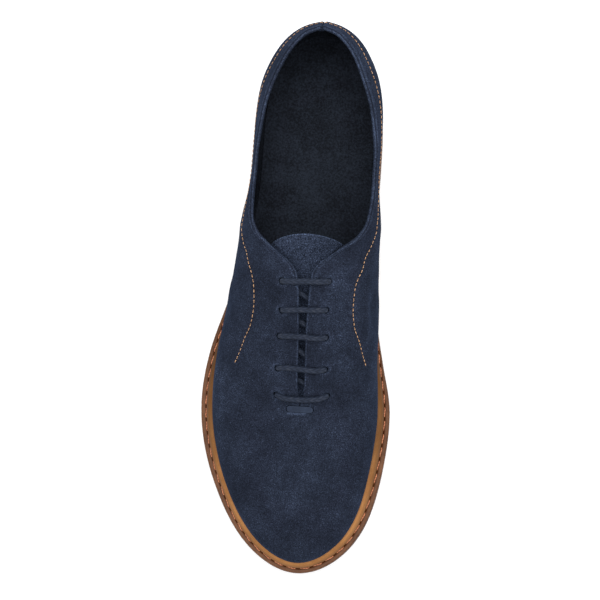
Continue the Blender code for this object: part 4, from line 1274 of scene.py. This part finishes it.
def make_tongue():
    """The sheet: down its length v and across it w. Half width, top edge and height follow
    arcs and powers of them, with a slow swell. Its two faces lie half the thickness off this
    middle along the normals, and the thickness is that of a rounded rim, the root of
    1 - (1 - d)^2 for a distance d from the edge of up to a millimetre."""
    v = (toward_ends(130)[:, None] + 1) / 2
    w = toward_ends(61)
    half = TONGUE_HALVES[0] + (TONGUE_HALVES[1] - TONGUE_HALVES[0]) * v**1.5
    out = w * half
    edge = TONGUE_TOP + out**2 / (2 * TONGUE_TOP_RADIUS) + TONGUE_CORNER * w**8
    along = edge + (TONGUE_END - edge) * v
    bend_from = BARS["lateral_along"][0]
    sink = even_curve(along, TONGUE_SINK["along"], TONGUE_SINK["depth"])
    up = crest_height(np.maximum(along, bend_from)) - sink
    up += TONGUE_RISE * np.maximum(bend_from - along, 0) - out**2 / (2 * TONGUE_BEND_RADIUS)
    up += 0.3 * np.sin(along / 7.3 + out / 5.1) * np.sin(out / 6.3 + 1.1)
    from_rim = np.minimum((1 - np.abs(w)) * half, np.minimum(along - edge, TONGUE_END - along))
    rounded = np.sqrt(1 - (1 - np.clip(from_rim, 0, 1)) ** 2)
    middle = np.stack([along, out, up - TONGUE_DEPTH / 2], axis=-1)
    normals = unit(np.cross(np.gradient(middle, axis=0), np.gradient(middle, axis=1)))
    half = normals * (TONGUE_DEPTH * rounded)[..., None] / 2
    rows, columns = along.shape
    faces = grid_faces(rows, columns) + grid_faces(rows, columns, rows * columns)
    below = np.where(along - edge < 0.6, np.clip(along - edge, 0, 0.3), FAR_BELOW)
    return np.stack([middle + half, middle - half]), faces, {"below": np.stack([below, below])}


nap = suede_finish("tongue_suede", dye(22, 26, 35), dye(52, 60, 78), dye(88, 103, 131), 1.2)
make_piece("tongue_sheet", make_tongue(), nap, "tongue", 50)

# ---- Throat bar -----------------------------------------------------------------------------
# A smooth navy leather bar that fills the slot at the end of the slit, domed on top.

BAR_DOME = (  # lift over the vamp and inset
    (-2.6, 0.4), (-2.0, 0.0), (0.35, 0.0), (0.58, 0.08),
    (0.72, 0.26), (0.76, 0.5), (0.7, 0.75), (0.66, 1.1),
)


def make_throat_bar():
    """Stadium rings that follow the vamp, each at a lift with an inset."""
    around, rings = 72, []
    for lift, inset in BAR_DOME:
        outline = stadium(*(size - 2 * inset for size in THROAT_BAR_SIZE), around)
        places, _ = on_instep(outline + THROAT_BAR_AT)
        rings.append(places + (0, 0, lift))
    return np.vstack(rings), tube_faces(len(rings), around)


def smooth_leather():
    """Smooth navy leather with a fine grain and a soft polish."""
    finish = Finish("smooth_leather", Specular_IOR_Level=0.08, Coat_Roughness=0.4)
    grain, clouds = finish.noises(finish.place(), (1700, 3, 0.6), (240, 2, 0.5))
    tone = (clouds * 0.6 + grain * 0.4).between(0.3, 0.7)
    colour = finish.mix(tone, dye(33, 40, 54), dye(43, 52, 69))
    finish.surface(colour, 0.5 + (grain - 0.5) * 0.3, grain, 0.00006)
    return finish


make_piece("throat_bar_pad", make_throat_bar(), smooth_leather(), "throat_bar")

# ---- Lace -----------------------------------------------------------------------------------
# A waxed round braid in navy and grey. It comes up through each outer hole, lies across the
# facings a little slack, dives into the inner hole and slants back under to the next bar.

CORD_RADIUS, BRAID_DEPTH, BRAID_PITCH = 1.6, 0.15, 3.2
CORD_OVER, CORD_UNDER = 1.45, -4.3  # height of its middle over and under the facings
RUN_OUT = -17.6  # the hidden run under the outer facing
THROUGH_HOLE = np.array((-3.4, -1.7, -0.3))  # heights on the way up a hole
HOLE_SIDES = (0.004, 0.996)  # shares of a bar at which the cord passes its two holes
ON_BAR = named_columns(
    "share lift",
    (0.07, -0.7), (0.12, -0.15), (0.20, 0.05), (0.32, 0.05), (0.42, 0), (0.5, 0),
    (0.58, 0), (0.68, 0.05), (0.80, 0.05), (0.88, -0.15), (0.93, -0.7),
)
ON_SLANT = named_columns(
    "share lift", (0.1, -4.2), (0.3, -4.0), (0.5, -3.9), (0.7, -4.0), (0.9, -4.2)
)
LACE_STEP = 0.36  # between two rings of the cord
SOFTENED = 6  # steps each way over which its bends are softened
ROW_ANGLE = math.pi / 3  # one of the braid's six rows


def lace_route():
    """The cord's places in order, by stretches: the hidden run, then for each bar from the
    toe the rise, the bar, the dive and the slant. Each place is over the fitted instep at a
    lift, square to it through the holes and upright elsewhere. The cord keeps to the throat's
    side of each hole."""
    first, last = BAR_LINES[-1], BAR_LINES[0]
    run = np.column_stack([np.linspace(last[0, 0] + 3, first[0, 0] - 8, 5), np.full(5, RUN_OUT)])
    run = np.vstack([run, first[0] + (-2.4, -1.6)])
    stretches = [(run, np.full(6, CORD_UNDER), 0.0)]
    for line, following in zip(BAR_LINES[::-1], [*BAR_LINES[-2::-1], None]):
        outer, inner = read_between(HOLE_SIDES, BAR_SHARES, line)
        over = read_between(ON_BAR["share"], BAR_SHARES, line)
        stretches.append((np.tile(outer, (3, 1)), THROUGH_HOLE, 1.0))
        stretches.append((over, CORD_OVER + ON_BAR["lift"], 0.0))
        stretches.append((np.tile(inner, (3, 1)), THROUGH_HOLE[::-1], 1.0))
        if following is not None:
            slant = line[-1] + (following[0] - line[-1]) * ON_SLANT["share"][:, None]
            stretches.append((slant, ON_SLANT["lift"], 0.0))
    stretches.append((BAR_LINES[0, -1:] + (-2.5, 2.0), [CORD_UNDER], 0.0))
    places, lifts, square = zip(*stretches)
    square = np.repeat(square, [len(part) for part in lifts])[:, None]
    face, normals = on_instep(np.vstack(places))
    upright = np.array((0.0, 0.0, 1.0))
    lifted = (normals * square + upright * (1 - square)) * np.concatenate(lifts)[:, None]
    return face + lifted, len(run)


def make_lace():
    """A tube swept along the route, plaited in six rows round the cord. Across a row b runs
    from -1/2 to 1/2; the strands slant one way in odd rows and the other in even ones, half a
    pitch apart, and each swells by |cos pi (u + slant b)|^0.7 (1 - 4 b^2)^0.5 for a distance u
    in pitches. `strand` is that swell, for the finish."""
    route, run_points = lace_route()
    walked = walked_along(route)
    at = np.arange(0, walked[-1], LACE_STEP)
    path = [even_curve(at, walked, column) for column in route.T]
    kernel = bell(np.arange(-SOFTENED, SOFTENED + 1) * LACE_STEP, 0.9)
    kernel /= kernel.sum()
    padded = np.pad(path, ((0, 0), (SOFTENED, SOFTENED)), mode="edge")
    path = np.stack([np.convolve(column, kernel, "valid") for column in padded], axis=-1)
    tangent = unit(np.gradient(path, axis=0))
    swing = step_up(at, walked[run_points - 1], walked[run_points + 1])[:, None] * math.pi / 2
    guide = np.cos(swing) * np.array((0.0, 1.0, 0.0)) + np.sin(swing) * np.array((1.0, 0.0, 0.0))
    side = unit(np.cross(tangent, guide))
    top = np.cross(side, tangent)
    around = 36
    angle = turns(around, 0.5)
    u = walked_along(path)[:, None]
    row = np.floor(angle / ROW_ANGLE)
    across = angle / ROW_ANGLE - row - 0.5
    phase = u / BRAID_PITCH + row / 2 + 0.8 * across * (-1) ** row
    strand = np.abs(np.cos(math.pi * phase)) ** 0.7 * np.sqrt(1 - 4 * across**2)
    uneven = 0.03 * np.sin(u / 3.7) * np.sin(u / 1.9 + angle)
    radius = CORD_RADIUS - BRAID_DEPTH * (1 - strand) + uneven
    spokes = side[:, None] * np.cos(angle)[:, None] + top[:, None] * np.sin(angle)[:, None]
    rings = path[:, None] + spokes * radius[..., None]
    return rings, tube_faces(len(rings), around), {"strand": strand}


def braid_finish():
    """Waxed braid: painted shade between the plump strands, grey-navy on them, brushed by wear.
    """
    finish = Finish("lace_braid", Specular_IOR_Level=0.08)
    place, strand = finish.place(), finish.mark("strand")
    fibres, wear = finish.noises(place, (1900, 3, 0.7), (330, 2, 0.6))
    # Darker where the strands dip: painted shade in the braid's grooves.
    tone = (strand * 0.4 + fibres * 0.4 + wear * 0.4).between(0.3, 0.95)
    colour = finish.mix(tone, dye(22, 27, 37), dye(41, 48, 63))
    brushed = wear.between(0.5, 0.7) * strand.between(0.3, 0.9) * 0.35
    colour = finish.mix(brushed, colour, dye(62, 63, 68))
    finish.surface(colour, 0.62 + (fibres - 0.5) * 0.3, fibres * 0.5 + strand * 0.5, 0.00016)
    return finish


make_piece("lace_cord", make_lace(), braid_finish(), "lace")

# ---- Stage, light and camera ----------------------------------------------------------------
# A plain pale floor under one large soft light, and a camera above the toe looking down.


def make_stage():
    """A pale floor, 6 m square, with its top on z = 0."""
    mesh = bpy.data.meshes.new("floor")
    corners = [(-3, -3, 0), (3, -3, 0), (3, 3, 0), (-3, 3, 0)]
    mesh.from_pydata(corners, [], [(0, 1, 2, 3)])
    paint = Finish("floor_paint", Base_Color=dye(249, 249, 249), Roughness=0.9)
    paint.shader.inputs["Emission Color"].default_value = (1, 1, 1, 1)
    paint.shader.inputs["Emission Strength"].default_value = 0.1
    mesh.materials.append(paint.material)
    put("floor", mesh)


def make_light(place, aim, size, watts):
    """A square area light at a place, turned to aim at another."""
    lamp = bpy.data.lights.new("soft_box", "AREA")
    lamp.size, lamp.energy = size, watts
    light = put("soft_box", lamp)
    light.location = place
    light.rotation_euler = (Vector(aim) - Vector(place)).to_track_quat("-Z", "Y").to_euler()


def make_camera(place, aim, roll, half_angle):
    """A camera at a place, aimed at another, its top towards the heel turned by the roll."""
    lens = bpy.data.cameras.new("camera")
    lens.angle = 2 * half_angle
    camera = put("camera", lens)
    look = (Vector(aim) - Vector(place)).normalized()
    right = look.cross((-math.sin(roll), math.cos(roll), 0)).normalized()
    camera.rotation_euler = Matrix((right, right.cross(look), -look)).transposed().to_euler()
    camera.location = place
    bpy.context.scene.camera = camera


make_stage()
make_light((0.1, 0.4, 1.45), (0, 0, 0.03), 1.4, 20)
world = bpy.data.worlds.new("world")
world.use_nodes = True
sky = world.node_tree.nodes["Background"].inputs
sky["Color"].default_value, sky["Strength"].default_value = (1, 1, 1, 1), 1.1
bpy.context.scene.world = world
bpy.context.scene.view_settings.view_transform = "Standard"
make_camera((0.0593, -0.0235, 1.0), (0.0, 0.0, 0.03), math.radians(3.4), 0.168)
